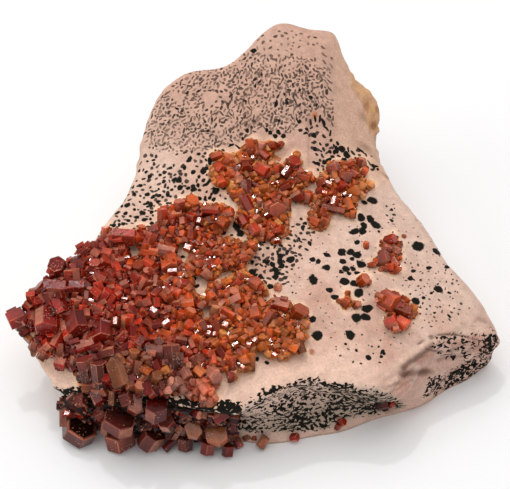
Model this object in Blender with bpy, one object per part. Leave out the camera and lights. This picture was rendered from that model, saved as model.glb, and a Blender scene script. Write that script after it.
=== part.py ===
"""Vanadinite specimen: a slab of pink stone with groups of hexagonal crystals on it.

Lengths are in millimetres in this file and turned into metres when a mesh is made.
X runs to the right, Y away from the front and Z up; the stone rests on its flat base at Z = 0.
"""
import bpy
import bmesh
import numpy as np

MM = 0.001
# Gap between the stone and what grows on it
GAP = 0.3
# Move in plan that centres the whole specimen's box over the origin
SHIFT_X = 0.85
SHIFT_Y = 2.84

# Stone: columns around the polar grid and the rings of its top, wall and base
CENTRE_X, CENTRE_Y = 0.0, -6.0
COLUMNS = 72
TOP_RINGS = (1.0, 0.96, 0.88, 0.76, 0.62, 0.47, 0.32, 0.16)
WALL_RINGS = (0.16, 0.36, 0.58, 0.8, 0.95)
BASE_RINGS = (1.0, 0.55)
# Drop of the top at its edge, the share of the radius at which it starts, and the plate's softness
EDGE_DROP = 0.8
DROP_START = 0.94
SMOOTHING = 2.0

# Angle in degrees, radius of the top edge, radius of the foot, depth of the hollow between them
STATIONS = (
    (0, 36.8, 33.0, 0.5), (13, 34.2, 30.5, 0.5), (24, 32.6, 30.0, 0.0), (35, 32.8, 30.0, 0.0),
    (45, 35.2, 33.0, -1.0), (50, 37.4, 35.0, -1.0), (54, 42.2, 37.0, -0.5), (58, 42.8, 39.0, -0.5),
    (62, 42.2, 40.0, 0.0), (66, 44.0, 41.0, 0.0),
    (70, 46.6, 42.0, 0.5), (76, 45.2, 42.0, 0.0), (84, 44.8, 41.0, 0.0), (92, 38.8, 39.5, -1.0),
    (100, 36.5, 38.0, -1.0), (110, 38.7, 38.0, 0.5), (117, 38.6, 36.5, 0.5), (124, 36.4, 34.5, 0.0),
    (133, 33.0, 31.5, -1.0), (140, 30.0, 29.5, -1.0), (150, 28.6, 27.5, 0.0), (160, 28.4, 26.5, 0.5),
    (171, 30.2, 27.5, 1.0), (180, 32.5, 29.5, 1.5), (187, 37.0, 33.5, 1.5), (192, 42.0, 37.0, 2.0),
    (198, 46.5, 39.5, 2.0), (204, 47.0, 39.5, 2.5), (211, 46.8, 38.5, 2.5), (218, 46.2, 36.5, 3.5),
    (226, 43.4, 34.0, 4.5), (235, 40.6, 31.5, 4.5), (245, 38.4, 31.0, 3.5), (255, 37.0, 32.0, 2.5),
    (266, 35.8, 33.0, 2.0), (277, 33.4, 33.6, 2.5), (288, 32.2, 33.6, 2.5), (298, 35.2, 34.8, 3.0),
    (309, 41.0, 36.0, 2.0), (316, 40.5, 38.0, 0.5), (323, 39.5, 40.6, -0.5), (331, 41.5, 42.8, 0.0),
    (337, 46.6, 45.8, -0.5), (342, 49.4, 46.8, -1.0), (346.5, 45.8, 43.4, -1.0), (353, 40.2, 37.5, 0.5),
)

# Heights of the top at places along its edge and inside it, as x, y, z
EDGE_HEIGHTS = (
    (5, 38, 37), (11, 37, 36), (16.5, 37, 34.5), (-1.6, 32, 35), (-6, 30, 33.5), (-13, 30.4, 31.5),
    (-17, 28.5, 29.5), (-19.5, 25, 28.5), (-22.5, 17.6, 25), (-22.3, 13.7, 23), (-24.4, 9, 21.5),
    (-26.4, 5, 20.5), (-30, -1.5, 20), (-32.7, -5.6, 19.5), (-40, -11.5, 18), (-44, -17, 17.5),
    (-46.5, -21, 16.5), (-44.5, -24, 14), (-42.4, -27.6, 12), (-40.3, -30.8, 10), (-36.8, -34.9, 9),
    (-29, -37.5, 12), (-19.4, -39.5, 14.5), (-10, -41.7, 15), (-2.7, -42, 15), (4, -39.5, 16),
    (10.3, -36.6, 17), (16.6, -37.7, 16), (26.9, -38.5, 13), (30, -33, 12.5), (31, -28, 15),
    (38, -25, 14), (46, -21.5, 10.5), (43.3, -17, 14), (38.7, -11, 16), (34.2, -3, 17),
    (28.8, 6.8, 18), (27, 12, 18.5), (24.9, 18.6, 20),
)
INNER_HEIGHTS = (
    (0, -10, 20), (0, 2, 22), (0, 12, 25), (0, 20, 29.5), (-12, 20, 28), (8, 28, 34), (-12, 10, 24),
    (14, 10, 24), (14, 0, 21.5), (15, -12, 19.5), (28, -10, 18), (15, -25, 18), (0, -25, 18.3),
    (-15, -10, 20.5), (-15, -25, 18.8), (-30, -15, 19.5), (-32, -26, 16.5), (14, 20, 29),
    (15, 30, 34.5),
)

# Right facet: it falls away from a crease that runs from the summit towards the front
CREASE_BACK = (15.5, 36.0)
CREASE_FRONT = (15.0, 10.0)
CREST_HEIGHT = 35.5
CREST_FALL = 0.40
FACET_SLOPE = 0.9
FACET_START_Y, FACET_FADE = 8.0, 8.0
FACET_LIFT = 20.0
CREASE_RUN = (-5.0, 40.0)
CREASE_WIDTH = 0.6

# Uneven waves of the top: height, then length and start along X, along Y and on the slant
SWELL_HEIGHT = 0.28
SWELL_LENGTHS = (4.3, 5.1, 3.9)
SWELL_STARTS = (0.9, 0.4, 2.0)
SLANT_SHARE, SLANT_RUN = 0.6, 1.4
# Uneven waves of the wall: depth, waves round the stone and their lengths down the wall
WALL_SWELL = 0.45
WALL_TURNS = (9, 14)
WALL_LENGTHS = (3.1, 2.2)

# Rounded lumps on the wall as angle, height fraction down the wall, width and height of the lump
WALL_LUMPS = ((54, 0.15, 5.0, 1.0), (44, 0.45, 7.0, 1.4), (110, 0.5, 9.0, 1.2), (20, 0.6, 9.0, 1.0))
LUMP_SPAN = 0.2

# Crusts: shares of the reach of their upper and lower rings, how flat their top is, how deep they
# reach into the stone and how far their rim dips
CRUST_RINGS = (0.38, 0.72, 0.93)
CRUST_FEET = (0.9, 0.4)
CRUST_FLATNESS = 6
CRUST_DEPTH = 2.2
CRUST_RIM = 1.2

# Crystals: sides, seat in the crust as a share of its thickness, and rise as a share of the width
SIDES = 6
SEAT_SHARE = 0.5
SEAT_RISE = 0.22
# Scattered crystals: tries, margin inside the crust's edge, hold of a placed crystal in widths, and
# the least and greatest width share, lean, direction and length share
TRIES = 1500
SCATTER_MARGIN = 1.2
HOLD = 0.40
LEAST, GREATEST = (0.85, 20, 0, 0.8), (1.2, 75, 360, 1.3)

# Crystals as x, y, width, length, lean from upright and the direction of the lean in degrees
MAIN_CRYSTALS = (
    (-38.0, -16.5, 5.2, 3.0, 30, 110), (-34.0, -16.0, 4.4, 3.6, 35, 20), (-37.0, -20.5, 3.4, 4.0, 70, 140),
    (-39.5, -23.5, 5.6, 4.5, 40, 265), (-34.0, -25.0, 6.0, 4.5, 38, 285), (-44.5, -22.5, 3.4, 5.4, 72, 190),
    (-43.5, -20.0, 3.0, 3.0, 40, 160), (-41.5, -17.0, 2.8, 3.0, 30, 120), (-39.5, -27.5, 3.8, 3.4, 50, 250),
    (-36.5, -28.5, 2.6, 2.6, 60, 200), (-32.0, -28.0, 4.8, 2.6, 25, 80), (-30.0, -31.5, 6.8, 3.0, 35, 225),
    (-25.0, -35.0, 5.4, 2.4, 40, 290), (-22.0, -32.5, 3.4, 1.8, 55, 60), (-28.5, -26.0, 3.6, 3.4, 65, 75),
    (-38.0, -13.0, 4.2, 3.2, 35, 130), (-40.0, -15.5, 3.0, 2.6, 50, 180), (-34.5, -12.5, 3.0, 2.6, 20, 90),
    (-31.0, -11.5, 5.0, 3.4, 30, 140), (-32.5, -14.5, 2.6, 3.0, 60, 300), (-25.0, -7.5, 5.0, 2.6, 30, 100),
    (-29.0, -8.0, 2.8, 2.4, 20, 150), (-27.0, -11.0, 2.8, 2.8, 60, 330), (-15.5, -1.5, 3.6, 3.0, 45, 250),
    (-12.5, 0.5, 2.8, 2.4, 35, 60), (-8.0, -1.0, 4.8, 2.4, 40, 120), (-16.5, -13.5, 3.6, 2.8, 50, 290),
    (-21.5, -17.5, 2.8, 4.4, 75, 100), (-24.5, -21.0, 3.4, 3.2, 40, 200), (-21.0, -27.5, 3.2, 3.0, 60, 20),
    (5.0, -21.5, 3.4, 2.4, 35, 270), (8.5, -23.5, 3.4, 2.4, 50, 350), (-7.5, -36.5, 3.2, 1.6, 20, 260),
    (-19.5, -37.5, 3.4, 2.6, 45, 240), (-43.0, -26.0, 3.2, 3.2, 60, 215),
)
UPPER_CRYSTALS = (
    (-1.0, 12.0, 3.0, 2.6, 45, 100), (3.5, 12.0, 3.2, 2.0, 30, 80), (1.0, 10.5, 2.4, 2.4, 60, 300),
    (-7.0, 11.0, 2.6, 2.0, 40, 150), (-6.5, 8.5, 3.2, 2.4, 50, 230), (-6.5, 6.0, 2.8, 2.6, 45, 200),
    (-1.5, 9.0, 2.4, 2.6, 70, 60), (0.5, 7.5, 3.4, 2.0, 50, 200), (-2.0, 5.0, 2.6, 3.4, 75, 110),
    (-1.0, 1.5, 4.4, 2.8, 45, 220), (7.5, 8.5, 2.8, 2.4, 40, 20), (4.0, 7.5, 2.2, 2.6, 70, 280),
    (4.0, 0.5, 3.8, 2.2, 38, 272), (6.0, 2.0, 2.4, 2.4, 60, 30), (2.5, 4.0, 2.8, 2.2, 40, 320),
    (-0.5, -4.5, 2.6, 2.2, 50, 250), (4.5, -4.5, 2.2, 2.0, 40, 300), (9.0, 5.5, 2.6, 2.2, 45, 60),
)
RIGHT_CRYSTALS = (
    (16.0, 10.0, 2.6, 2.4, 40, 110), (18.5, 10.5, 2.8, 2.2, 50, 60), (20.5, 12.0, 2.0, 2.0, 40, 20),
    (21.0, 10.0, 2.4, 2.0, 60, 350), (17.5, 8.0, 2.6, 2.0, 38, 268), (14.5, 5.0, 2.0, 2.4, 70, 200),
    (15.5, 0.5, 4.0, 2.4, 20, 90), (17.0, 5.5, 2.4, 2.0, 50, 300), (19.0, 3.0, 2.4, 2.2, 45, 330),
    (12.5, -2.5, 3.2, 2.6, 30, 240), (22.0, 8.0, 2.0, 1.8, 50, 10), (11.5, 1.5, 2.2, 2.0, 60, 190),
)
EAST_CRYSTALS = (
    (26.0, -5.5, 2.0, 1.6, 30, 100), (27.5, -7.0, 2.0, 1.8, 50, 20), (25.5, -9.5, 2.4, 2.0, 45, 200),
    (27.5, -10.0, 2.0, 1.8, 60, 330), (24.0, -12.0, 1.8, 1.6, 50, 230), (26.0, -12.5, 2.2, 1.8, 40, 290),
)
SOUTHEAST_CRYSTALS = (
    (26.0, -19.5, 3.2, 2.4, 45, 130), (28.5, -20.5, 2.2, 2.0, 50, 40), (30.0, -21.5, 1.8, 1.6, 60, 10),
    (27.0, -23.0, 3.4, 2.4, 50, 250), (29.0, -23.5, 2.4, 2.0, 55, 310), (25.0, -24.5, 1.8, 1.6, 50, 220),
)
MIDDLE_CRYSTALS = ((20.5, -15.0, 2.8, 2.0, 35, 250), (21.5, -14.0, 1.4, 1.2, 50, 40))
SOUTH_CRYSTALS = (
    (17.5, -18.5, 2.2, 1.6, 40, 60), (17.0, -20.5, 2.0, 2.0, 55, 250), (16.0, -19.0, 1.4, 1.4, 60, 180),
)

# Crystals under the ledge as x, y, z, width, length, lean and direction of the lean
LEDGE_CRYSTALS = (
    (-31.5, -39.0, 4.8, 7.2, 4.0, 50, 300), (-24.5, -40.5, 4.0, 6.0, 3.6, 35, 270),
    (-19.0, -41.0, 3.6, 4.8, 4.4, 65, 230), (-24.0, -38.5, 8.5, 6.0, 2.8, 20, 60),
    (-21.5, -38.0, 11.0, 3.6, 3.0, 50, 245), (-18.0, -38.0, 10.2, 4.4, 3.0, 45, 290),
    (-16.5, -39.0, 7.8, 3.6, 3.0, 55, 310), (-11.5, -39.5, 6.0, 3.4, 2.6, 50, 265),
    (-27.5, -36.5, 8.5, 2.4, 3.6, 60, 220), (-35.5, -37.0, 7.0, 3.0, 4.6, 30, 200),
    (-32.5, -36.5, 10.0, 2.4, 2.6, 50, 250), (-25.5, -37.0, 11.5, 4.0, 3.0, 30, 250),
    (-12.5, -40.5, 2.8, 2.6, 2.6, 70, 240), (-7.0, -40.0, 5.5, 4.2, 2.6, 45, 275),
    (-5.5, -41.0, 2.4, 2.4, 2.6, 60, 270), (-1.0, -39.5, 4.5, 2.0, 2.0, 60, 300),
    (1.5, -39.5, 3.0, 2.6, 2.6, 50, 280), (-9.5, -40.5, 2.6, 2.4, 2.4, 60, 200),
    (-15.0, -40.0, 4.5, 3.0, 2.8, 60, 290), (-3.5, -40.0, 3.0, 2.4, 2.4, 55, 240),
    (-19.5, -39.0, 6.0, 3.0, 3.0, 60, 200), (-28.0, -39.5, 3.2, 3.2, 3.0, 70, 200),
    (-33.5, -37.0, 4.8, 3.0, 3.6, 70, 210), (-13.5, -38.5, 9.0, 2.4, 2.4, 60, 280),
)
LEDGE_START, LEDGE_END = 214.0, 277.0
LEDGE_COLUMNS = 20
LEDGE_ROWS = (0.04, 0.2, 0.4, 0.6, 0.8, 0.94)
# Swell of the crust under the ledge as angle and thickness, and its run down the wall
LEDGE_SWELL = ((214, -1.2), (220, 3.0), (234, 4.6), (246, 3.6), (258, 2.6), (268, 1.6), (277, -1.2))
BULGE_START, BULGE_RUN, BULGE_POWER = 0.12, 0.76, 0.7
LEDGE_FLOOR = 1.0

# Colours of the two slots
STONE_COLOUR, STONE_ROUGHNESS = (0.72, 0.52, 0.44), 0.85
CRYSTAL_COLOUR, CRYSTAL_ROUGHNESS = (0.36, 0.07, 0.04), 0.25


def group(name, centre, reach, thickness, crystals, seed=0, spacing=0.0, widths=(1.6, 1.6)):
    """One crystal group: its crust's centre and reach at equal angles, and the crystals on it."""
    return {"name": name, "centre": centre, "reach": reach, "thickness": thickness,
            "crystals": crystals, "seed": seed, "spacing": spacing, "widths": widths}


MAIN_REACH = (28.0, 20.0, 18.5, 19.5, 26.0, 26.0, 24.5, 20.0, 20.5, 21.5, 23.5, 26.0,
              29.0, 26.5, 22.5, 20.0, 20.0, 20.5, 21.0, 21.0, 22.0, 20.0, 22.0, 29.0)
MAIN_DRUSE = group("main_druse", (-17.0, -22.0), MAIN_REACH, 2.0, MAIN_CRYSTALS,
                   seed=11, spacing=4.2, widths=(3.2, 2.2))
UPPER_LEFT = group("upper_left", (0.5, 4.5),
                   (12.0, 9.5, 8.5, 10.5, 9.5, 9.0, 11.0, 10.0, 7.0, 5.0, 5.5, 6.0, 10.0, 11.5, 9.0, 8.5),
                   1.2, UPPER_CRYSTALS, seed=12, spacing=4.4, widths=(2.0, 2.0))
UPPER_RIGHT = group("upper_right", (16.0, 4.5),
                    (5.5, 7.5, 8.5, 7.0, 6.5, 4.5, 5.0, 6.5, 7.0, 6.5, 8.5, 9.5, 5.0, 6.0, 5.5, 5.0),
                    1.0, RIGHT_CRYSTALS, seed=13, spacing=4.4, widths=(1.8, 1.8))
EAST = group("east_cluster", (26.5, -9.0),
             (2.0, 2.5, 4.0, 5.0, 2.5, 1.5, 1.5, 2.0, 5.0, 4.5, 3.0, 2.0), 0.7, EAST_CRYSTALS)
SOUTHEAST = group("southeast_cluster", (27.5, -22.0),
                  (3.0, 3.5, 3.0, 4.0, 4.5, 3.5, 2.5, 3.5, 4.0, 3.5, 3.0, 2.0), 0.9, SOUTHEAST_CRYSTALS)
MIDDLE = group("middle_crystal", (20.8, -14.8), (1.2,) * 8, 0.3, MIDDLE_CRYSTALS)
SOUTH = group("south_crystals", (17.6, -19.7), (2.0, 1.2, 1.4, 1.4, 1.6, 1.2, 1.4, 1.2), 0.4, SOUTH_CRYSTALS)


def clear_scene():
    """Empty the scene of every object."""
    for old in list(bpy.data.objects):
        bpy.data.objects.remove(old, do_unlink=True)


def material(name, colour, roughness):
    """A plain Principled material."""
    new = bpy.data.materials.new(name)
    new.use_nodes = True
    shader = new.node_tree.nodes["Principled BSDF"]
    shader.inputs["Base Color"].default_value = (*colour, 1.0)
    shader.inputs["Roughness"].default_value = roughness
    return new


def periodic(angles, values, at):
    """A smooth closed curve of values over angle in degrees, through each station."""
    angles = np.array(angles, float)
    values = np.array(values, float)
    angles = np.concatenate([angles - 360, angles, angles + 360])
    values = np.tile(values, 3)
    at = np.mod(at, 360)
    i = np.searchsorted(angles, at, side="right") - 1
    start_slope = (values[i + 1] - values[i - 1]) / (angles[i + 1] - angles[i - 1])
    end_slope = (values[i + 2] - values[i]) / (angles[i + 2] - angles[i])
    span = angles[i + 1] - angles[i]
    t = (at - angles[i]) / span
    ends = (2 * t**3 - 3 * t**2 + 1) * values[i] + (3 * t**2 - 2 * t**3) * values[i + 1]
    return ends + (t**3 - 2 * t**2 + t) * span * start_slope + (t**3 - t**2) * span * end_slope


def plate_kernel(squared):
    """The bending-plate kernel of a squared distance."""
    return 0.5 * squared * np.log(np.maximum(squared, 1e-9))


def fit_plate(spots):
    """Weights of the thin plate that bends through the spot heights."""
    count = len(spots)
    offsets = spots[:, None, :2] - spots[None, :, :2]
    system = np.zeros((count + 3, count + 3))
    system[:count, :count] = plate_kernel((offsets**2).sum(-1)) + SMOOTHING * np.eye(count)
    system[:count, count] = system[count, :count] = 1
    system[:count, count + 1:] = spots[:, :2]
    system[count + 1:, :count] = spots[:, :2].T
    return np.linalg.solve(system, np.concatenate([spots[:, 2], np.zeros(3)]))


SPOTS = np.array(EDGE_HEIGHTS + INNER_HEIGHTS, float)
PLATE = fit_plate(SPOTS)


def gentle_swell(x, y):
    """Low uneven waves of the stone's faces."""
    along_x, along_y, slant = SWELL_LENGTHS
    start_x, start_y, start = SWELL_STARTS
    broad = np.sin(x / along_x + start_x) * np.cos(y / along_y + start_y)
    return SWELL_HEIGHT * (broad + SLANT_SHARE * np.sin((x + SLANT_RUN * y) / slant + start))


def top_height(x, y):
    """Height of the stone's top: a bent plate, and the right facet where that is lower."""
    x = np.asarray(x, float)
    y = np.asarray(y, float)
    plate = PLATE[-3] + PLATE[-2] * x + PLATE[-1] * y
    for (spot_x, spot_y, _), weight in zip(SPOTS, PLATE):
        plate = plate + weight * plate_kernel((x - spot_x) ** 2 + (y - spot_y) ** 2)
    run = np.subtract(CREASE_FRONT, CREASE_BACK)
    run = run / np.hypot(*run)
    off = (y - CREASE_BACK[1]) * run[0] - (x - CREASE_BACK[0]) * run[1]
    along = (x - CREASE_BACK[0]) * run[0] + (y - CREASE_BACK[1]) * run[1]
    facet = CREST_HEIGHT - CREST_FALL * np.clip(along, *CREASE_RUN) - FACET_SLOPE * off
    facet = facet + FACET_LIFT * (1 - np.clip((y - FACET_START_Y) / FACET_FADE, 0, 1))
    mix = np.clip(0.5 + 0.5 * (facet - plate) / CREASE_WIDTH, 0, 1)
    joined = facet * (1 - mix) + plate * mix - CREASE_WIDTH * mix * (1 - mix)
    return joined + gentle_swell(x, y)


def outline(degrees):
    """Radius of the top edge, radius of the foot and depth of the hollow at each angle."""
    angles = [row[0] for row in STATIONS]
    return [periodic(angles, [row[k] for row in STATIONS], degrees) for k in (1, 2, 3)]


def around(degrees, radius):
    """Plan position at an angle and a radius from the stone's centre."""
    turn = np.radians(degrees)
    return CENTRE_X + radius * np.cos(turn), CENTRE_Y + radius * np.sin(turn)


def wall_point(degrees, down):
    """Radius and height of the wall at an angle, a fraction of the way down."""
    edge, foot, hollow = outline(degrees)
    radius = edge + (foot - edge) * down - hollow * np.sin(np.pi * down)
    for angle, place, width, height in WALL_LUMPS:
        apart = ((degrees - angle) / width) ** 2 + ((down - place) / LUMP_SPAN) ** 2
        radius = radius + height * np.exp(-apart)
    crest = top_height(*around(degrees, edge)) - EDGE_DROP
    height = crest * (1 - down)
    wave = np.sin(np.radians(degrees * WALL_TURNS[0]) + height / WALL_LENGTHS[0])
    wave = wave + np.sin(np.radians(degrees * WALL_TURNS[1]) - height / WALL_LENGTHS[1])
    return radius + WALL_SWELL * wave * np.sin(np.pi * down), height


def ring(degrees, radius, height):
    """One closed ring of points."""
    x, y = around(degrees, radius)
    return np.stack([x, y, height + 0 * x], -1)


def stone_rings():
    """Rings of the stone from the middle of its top, over the edge and down to its base."""
    degrees = np.arange(COLUMNS) * 360 / COLUMNS
    edge, foot, _ = outline(degrees)
    rings = []
    for share in reversed(TOP_RINGS):
        x, y = around(degrees, edge * share)
        drop = EDGE_DROP * np.clip((share - DROP_START) / (1 - DROP_START), 0, 1) ** 2
        rings.append(ring(degrees, edge * share, top_height(x, y) - drop))
    for down in WALL_RINGS:
        rings.append(ring(degrees, *wall_point(degrees, down)))
    for share in BASE_RINGS:
        rings.append(ring(degrees, foot * share, 0.0))
    return rings


def capped_rings(rings, first, last):
    """Points and faces of a closed skin: rings of equal length between two end points."""
    count = len(rings[0])
    points = np.concatenate([[first], *rings, [last]])
    faces = []
    for j in range(count):
        following = (j + 1) % count
        faces.append((0, 1 + j, 1 + following))
        for i in range(len(rings) - 1):
            near, far = 1 + i * count, 1 + (i + 1) * count
            faces.append((near + j, far + j, far + following, near + following))
        tail = 1 + (len(rings) - 1) * count
        faces.append((tail + following, tail + j, len(points) - 1))
    return points, faces


def stone_skin():
    """The stone's closed skin."""
    summit = (CENTRE_X, CENTRE_Y, float(top_height(CENTRE_X, CENTRE_Y)))
    return capped_rings(stone_rings(), summit, (CENTRE_X, CENTRE_Y, 0.0))


def crust_skin(spec):
    """A crust: a domed pad over the stone's top whose edge dips into the stone."""
    centre_x, centre_y = spec["centre"]
    reach = np.array(spec["reach"])
    count = len(reach)
    turn = np.arange(count) * 2 * np.pi / count

    def level(share, raised):
        x = centre_x + reach * share * np.cos(turn)
        y = centre_y + reach * share * np.sin(turn)
        return np.stack([x, y, top_height(x, y) + raised], -1)

    middle = float(top_height(centre_x, centre_y))
    rings = [level(share, spec["thickness"] * (1 - share**CRUST_FLATNESS)) for share in CRUST_RINGS]
    rings.append(level(1.0, -CRUST_RIM))
    rings += [level(share, -CRUST_DEPTH) for share in CRUST_FEET]
    return capped_rings(rings, (centre_x, centre_y, middle + spec["thickness"]),
                        (centre_x, centre_y, middle - CRUST_DEPTH))


def ledge_skin():
    """The crust on the wall under the ledge: a swelling sheet along the wall."""
    degrees = np.linspace(LEDGE_START, LEDGE_END, LEDGE_COLUMNS)
    swell = np.interp(degrees, *np.transpose(LEDGE_SWELL))
    sheets = []
    for down in LEDGE_ROWS:
        radius, height = wall_point(degrees, down)
        bulge = swell * np.sin(np.pi * (BULGE_START + BULGE_RUN * down)) ** BULGE_POWER
        sheets.append((radius, bulge, np.maximum(height, LEDGE_FLOOR)))
    outer = [ring(degrees, radius + bulge, height) for radius, bulge, height in sheets]
    inner = [ring(degrees, radius - CRUST_DEPTH, height) for radius, _, height in sheets]
    loops = np.concatenate([outer, inner[::-1]])
    loops = np.swapaxes(loops, 0, 1)
    return capped_rings(list(loops), loops[0].mean(0), loops[-1].mean(0))


def prism(centre, width, length, lean, toward, spin):
    """Points and faces of a hexagonal prism about its centre."""
    lean, toward = np.radians((lean, toward))
    axis = np.array([np.sin(lean) * np.cos(toward), np.sin(lean) * np.sin(toward), np.cos(lean)])
    side = np.array([np.cos(lean) * np.cos(toward), np.cos(lean) * np.sin(toward), -np.sin(lean)])
    across = np.cross(axis, side)
    turn = np.radians(spin) + np.arange(SIDES) * 2 * np.pi / SIDES
    corner = width / 2 * (np.outer(np.cos(turn), side) + np.outer(np.sin(turn), across))
    points = np.concatenate([centre - axis * length / 2 + corner, centre + axis * length / 2 + corner])
    faces = [tuple(reversed(range(SIDES))), tuple(range(SIDES, 2 * SIDES))]
    for j in range(SIDES):
        following = (j + 1) % SIDES
        faces.append((j, following, following + SIDES, j + SIDES))
    return points, faces


def inside_reach(spec, x, y, margin):
    """Whether a place lies on the crust, a margin in from its edge."""
    away_x, away_y = x - spec["centre"][0], y - spec["centre"][1]
    turn = np.degrees(np.arctan2(away_y, away_x))
    steps = np.arange(len(spec["reach"])) * 360 / len(spec["reach"])
    return np.hypot(away_x, away_y) < periodic(steps, spec["reach"], turn) - margin


def scattered(spec):
    """Seeded crystals between the placed ones, smaller towards the right of the group."""
    if not spec["spacing"]:
        return []
    rng = np.random.default_rng(spec["seed"])
    widest = max(spec["reach"])
    taken = [(x, y, HOLD * width) for x, y, width, *_ in spec["crystals"]]
    left, right = spec["centre"][0] - widest, spec["centre"][0] + widest
    found = []
    for _ in range(TRIES):
        x = spec["centre"][0] + widest * rng.uniform(-1, 1)
        y = spec["centre"][1] + widest * rng.uniform(-1, 1)
        width, lean, toward, stretch = rng.uniform(LEAST, GREATEST)
        width *= np.interp(x, (left, right), spec["widths"])
        if not inside_reach(spec, x, y, SCATTER_MARGIN):
            continue
        if any(np.hypot(x - a, y - b) < c + spec["spacing"] / 2 for a, b, c in taken):
            continue
        taken.append((x, y, spec["spacing"] / 2))
        found.append((x, y, width, width * stretch, lean, toward))
    return found


def seated_prisms(spec):
    """The skins of one group's crystals, each seated in its crust."""
    rng = np.random.default_rng(spec["seed"] + 100)
    skins = []
    for x, y, width, length, lean, toward in list(spec["crystals"]) + scattered(spec):
        base = float(top_height(x, y)) + SEAT_SHARE * spec["thickness"] * float(inside_reach(spec, x, y, 0.0))
        centre = np.array([x, y, base + SEAT_RISE * width])
        skins.append(prism(centre, width, length, lean, toward, rng.uniform(0, 60)))
    return skins


def ledge_prisms():
    """The skins of the crystals under the ledge."""
    rng = np.random.default_rng(200)
    skins = []
    for x, y, z, width, length, lean, toward in LEDGE_CRYSTALS:
        skins.append(prism(np.array([x, y, z]), width, length, lean, toward, rng.uniform(0, 60)))
    return skins


def make_object(name, skins, look):
    """One mesh object from closed skins, in metres, with its faces turned outwards."""
    points, faces, start = [], [], 0
    for skin_points, skin_faces in skins:
        points.append(skin_points)
        faces += [tuple(start + index for index in face) for face in skin_faces]
        start += len(skin_points)
    points = np.concatenate(points) + (SHIFT_X, SHIFT_Y, 0.0)
    mesh = bpy.data.meshes.new(name)
    mesh.from_pydata((points * MM).tolist(), [], faces)
    shape = bmesh.new()
    shape.from_mesh(mesh)
    bmesh.ops.triangulate(shape, faces=[f for f in shape.faces if len(f.verts) == 4 and len(skins) == 1])
    bmesh.ops.recalc_face_normals(shape, faces=shape.faces)
    shape.to_mesh(mesh)
    shape.free()
    mesh.materials.append(look)
    made = bpy.data.objects.new(name, mesh)
    bpy.context.collection.objects.link(made)
    return made


def grown_stone(look):
    """A hidden cutter: the stone's skin moved out by the gap along its normals."""
    cutter = make_object("stone_cutter", [stone_skin()], look)
    mesh = cutter.data
    normals = np.array([vertex.normal for vertex in mesh.vertices])
    points = np.array([vertex.co for vertex in mesh.vertices]) + normals * GAP * MM
    mesh.vertices.foreach_set("co", points.ravel())
    mesh.update()
    cutter.hide_render = True
    cutter.display_type = "WIRE"
    return cutter


def body_of(vertex):
    """Every vertex joined to this one."""
    body, waiting = {vertex}, [vertex]
    while waiting:
        for edge in waiting.pop().link_edges:
            for other in edge.verts:
                if other not in body:
                    body.add(other)
                    waiting.append(other)
    return body


def keep_largest_body(made):
    """Apply the modifiers and drop the crumbs that the cut leaves loose."""
    evaluated = made.evaluated_get(bpy.context.evaluated_depsgraph_get())
    mesh = bpy.data.meshes.new_from_object(evaluated)
    shape = bmesh.new()
    shape.from_mesh(mesh)
    bodies, seen = [], set()
    for vertex in shape.verts:
        if vertex not in seen:
            bodies.append(body_of(vertex))
            seen |= bodies[-1]
    bodies.sort(key=len)
    crumbs = [vertex for body in bodies[:-1] for vertex in body]
    bmesh.ops.delete(shape, geom=crumbs, context="VERTS")
    shape.to_mesh(mesh)
    shape.free()
    made.modifiers.clear()
    made.data = mesh


def make_cluster(name, skins, cutter, look):
    """A crystal group: its overlapping skins joined and cut away where the stone is."""
    cluster = make_object(name, skins, look)
    cut = cluster.modifiers.new("cut_by_stone", "BOOLEAN")
    cut.operation = "DIFFERENCE"
    cut.solver = "EXACT"
    cut.use_self = True
    cut.object = cutter
    keep_largest_body(cluster)


def build():
    """Make the whole specimen."""
    clear_scene()
    stone = material("pink_stone", STONE_COLOUR, STONE_ROUGHNESS)
    crystal = material("red_crystal", CRYSTAL_COLOUR, CRYSTAL_ROUGHNESS)
    make_object("matrix_rock", [stone_skin()], stone)
    cutter = grown_stone(stone)
    main = [crust_skin(MAIN_DRUSE), ledge_skin()] + seated_prisms(MAIN_DRUSE) + ledge_prisms()
    make_cluster("main_druse", main, cutter, crystal)
    upper = [crust_skin(UPPER_LEFT), crust_skin(UPPER_RIGHT)]
    upper += seated_prisms(UPPER_LEFT) + seated_prisms(UPPER_RIGHT)
    make_cluster("upper_cluster", upper, cutter, crystal)
    for spec in (EAST, SOUTHEAST, MIDDLE, SOUTH):
        make_cluster(spec["name"], [crust_skin(spec)] + seated_prisms(spec), cutter, crystal)


build()
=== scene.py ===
"""Vanadinite specimen: a pink stone slab with black spots and groups of hexagonal crystals on it.

Sketch lengths are millimetres from the middle of the stone's base and become metres when a mesh
is made. X runs to the right, Y away from the front and Z up. Pixel places are those of the
photograph, 510 wide and 489 high, counted from its upper left corner.
"""

import bpy
import numpy as np
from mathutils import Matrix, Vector


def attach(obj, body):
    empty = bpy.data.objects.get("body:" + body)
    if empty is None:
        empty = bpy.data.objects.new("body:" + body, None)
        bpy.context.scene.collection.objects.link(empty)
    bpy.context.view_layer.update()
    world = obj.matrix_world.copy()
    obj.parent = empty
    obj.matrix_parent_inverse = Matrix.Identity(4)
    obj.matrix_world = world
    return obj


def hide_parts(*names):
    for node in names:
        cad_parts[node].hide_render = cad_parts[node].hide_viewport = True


bl_info = {
    "name": "Vanadinite specimen",
    "version": (1, 0, 0),
    "blender": (4, 5, 0),
    "location": "3D View > Sidebar > Specimen",
    "description": "A pink stone slab with black spots and groups of red hexagonal crystals",
    "category": "Add Mesh",
}

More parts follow.
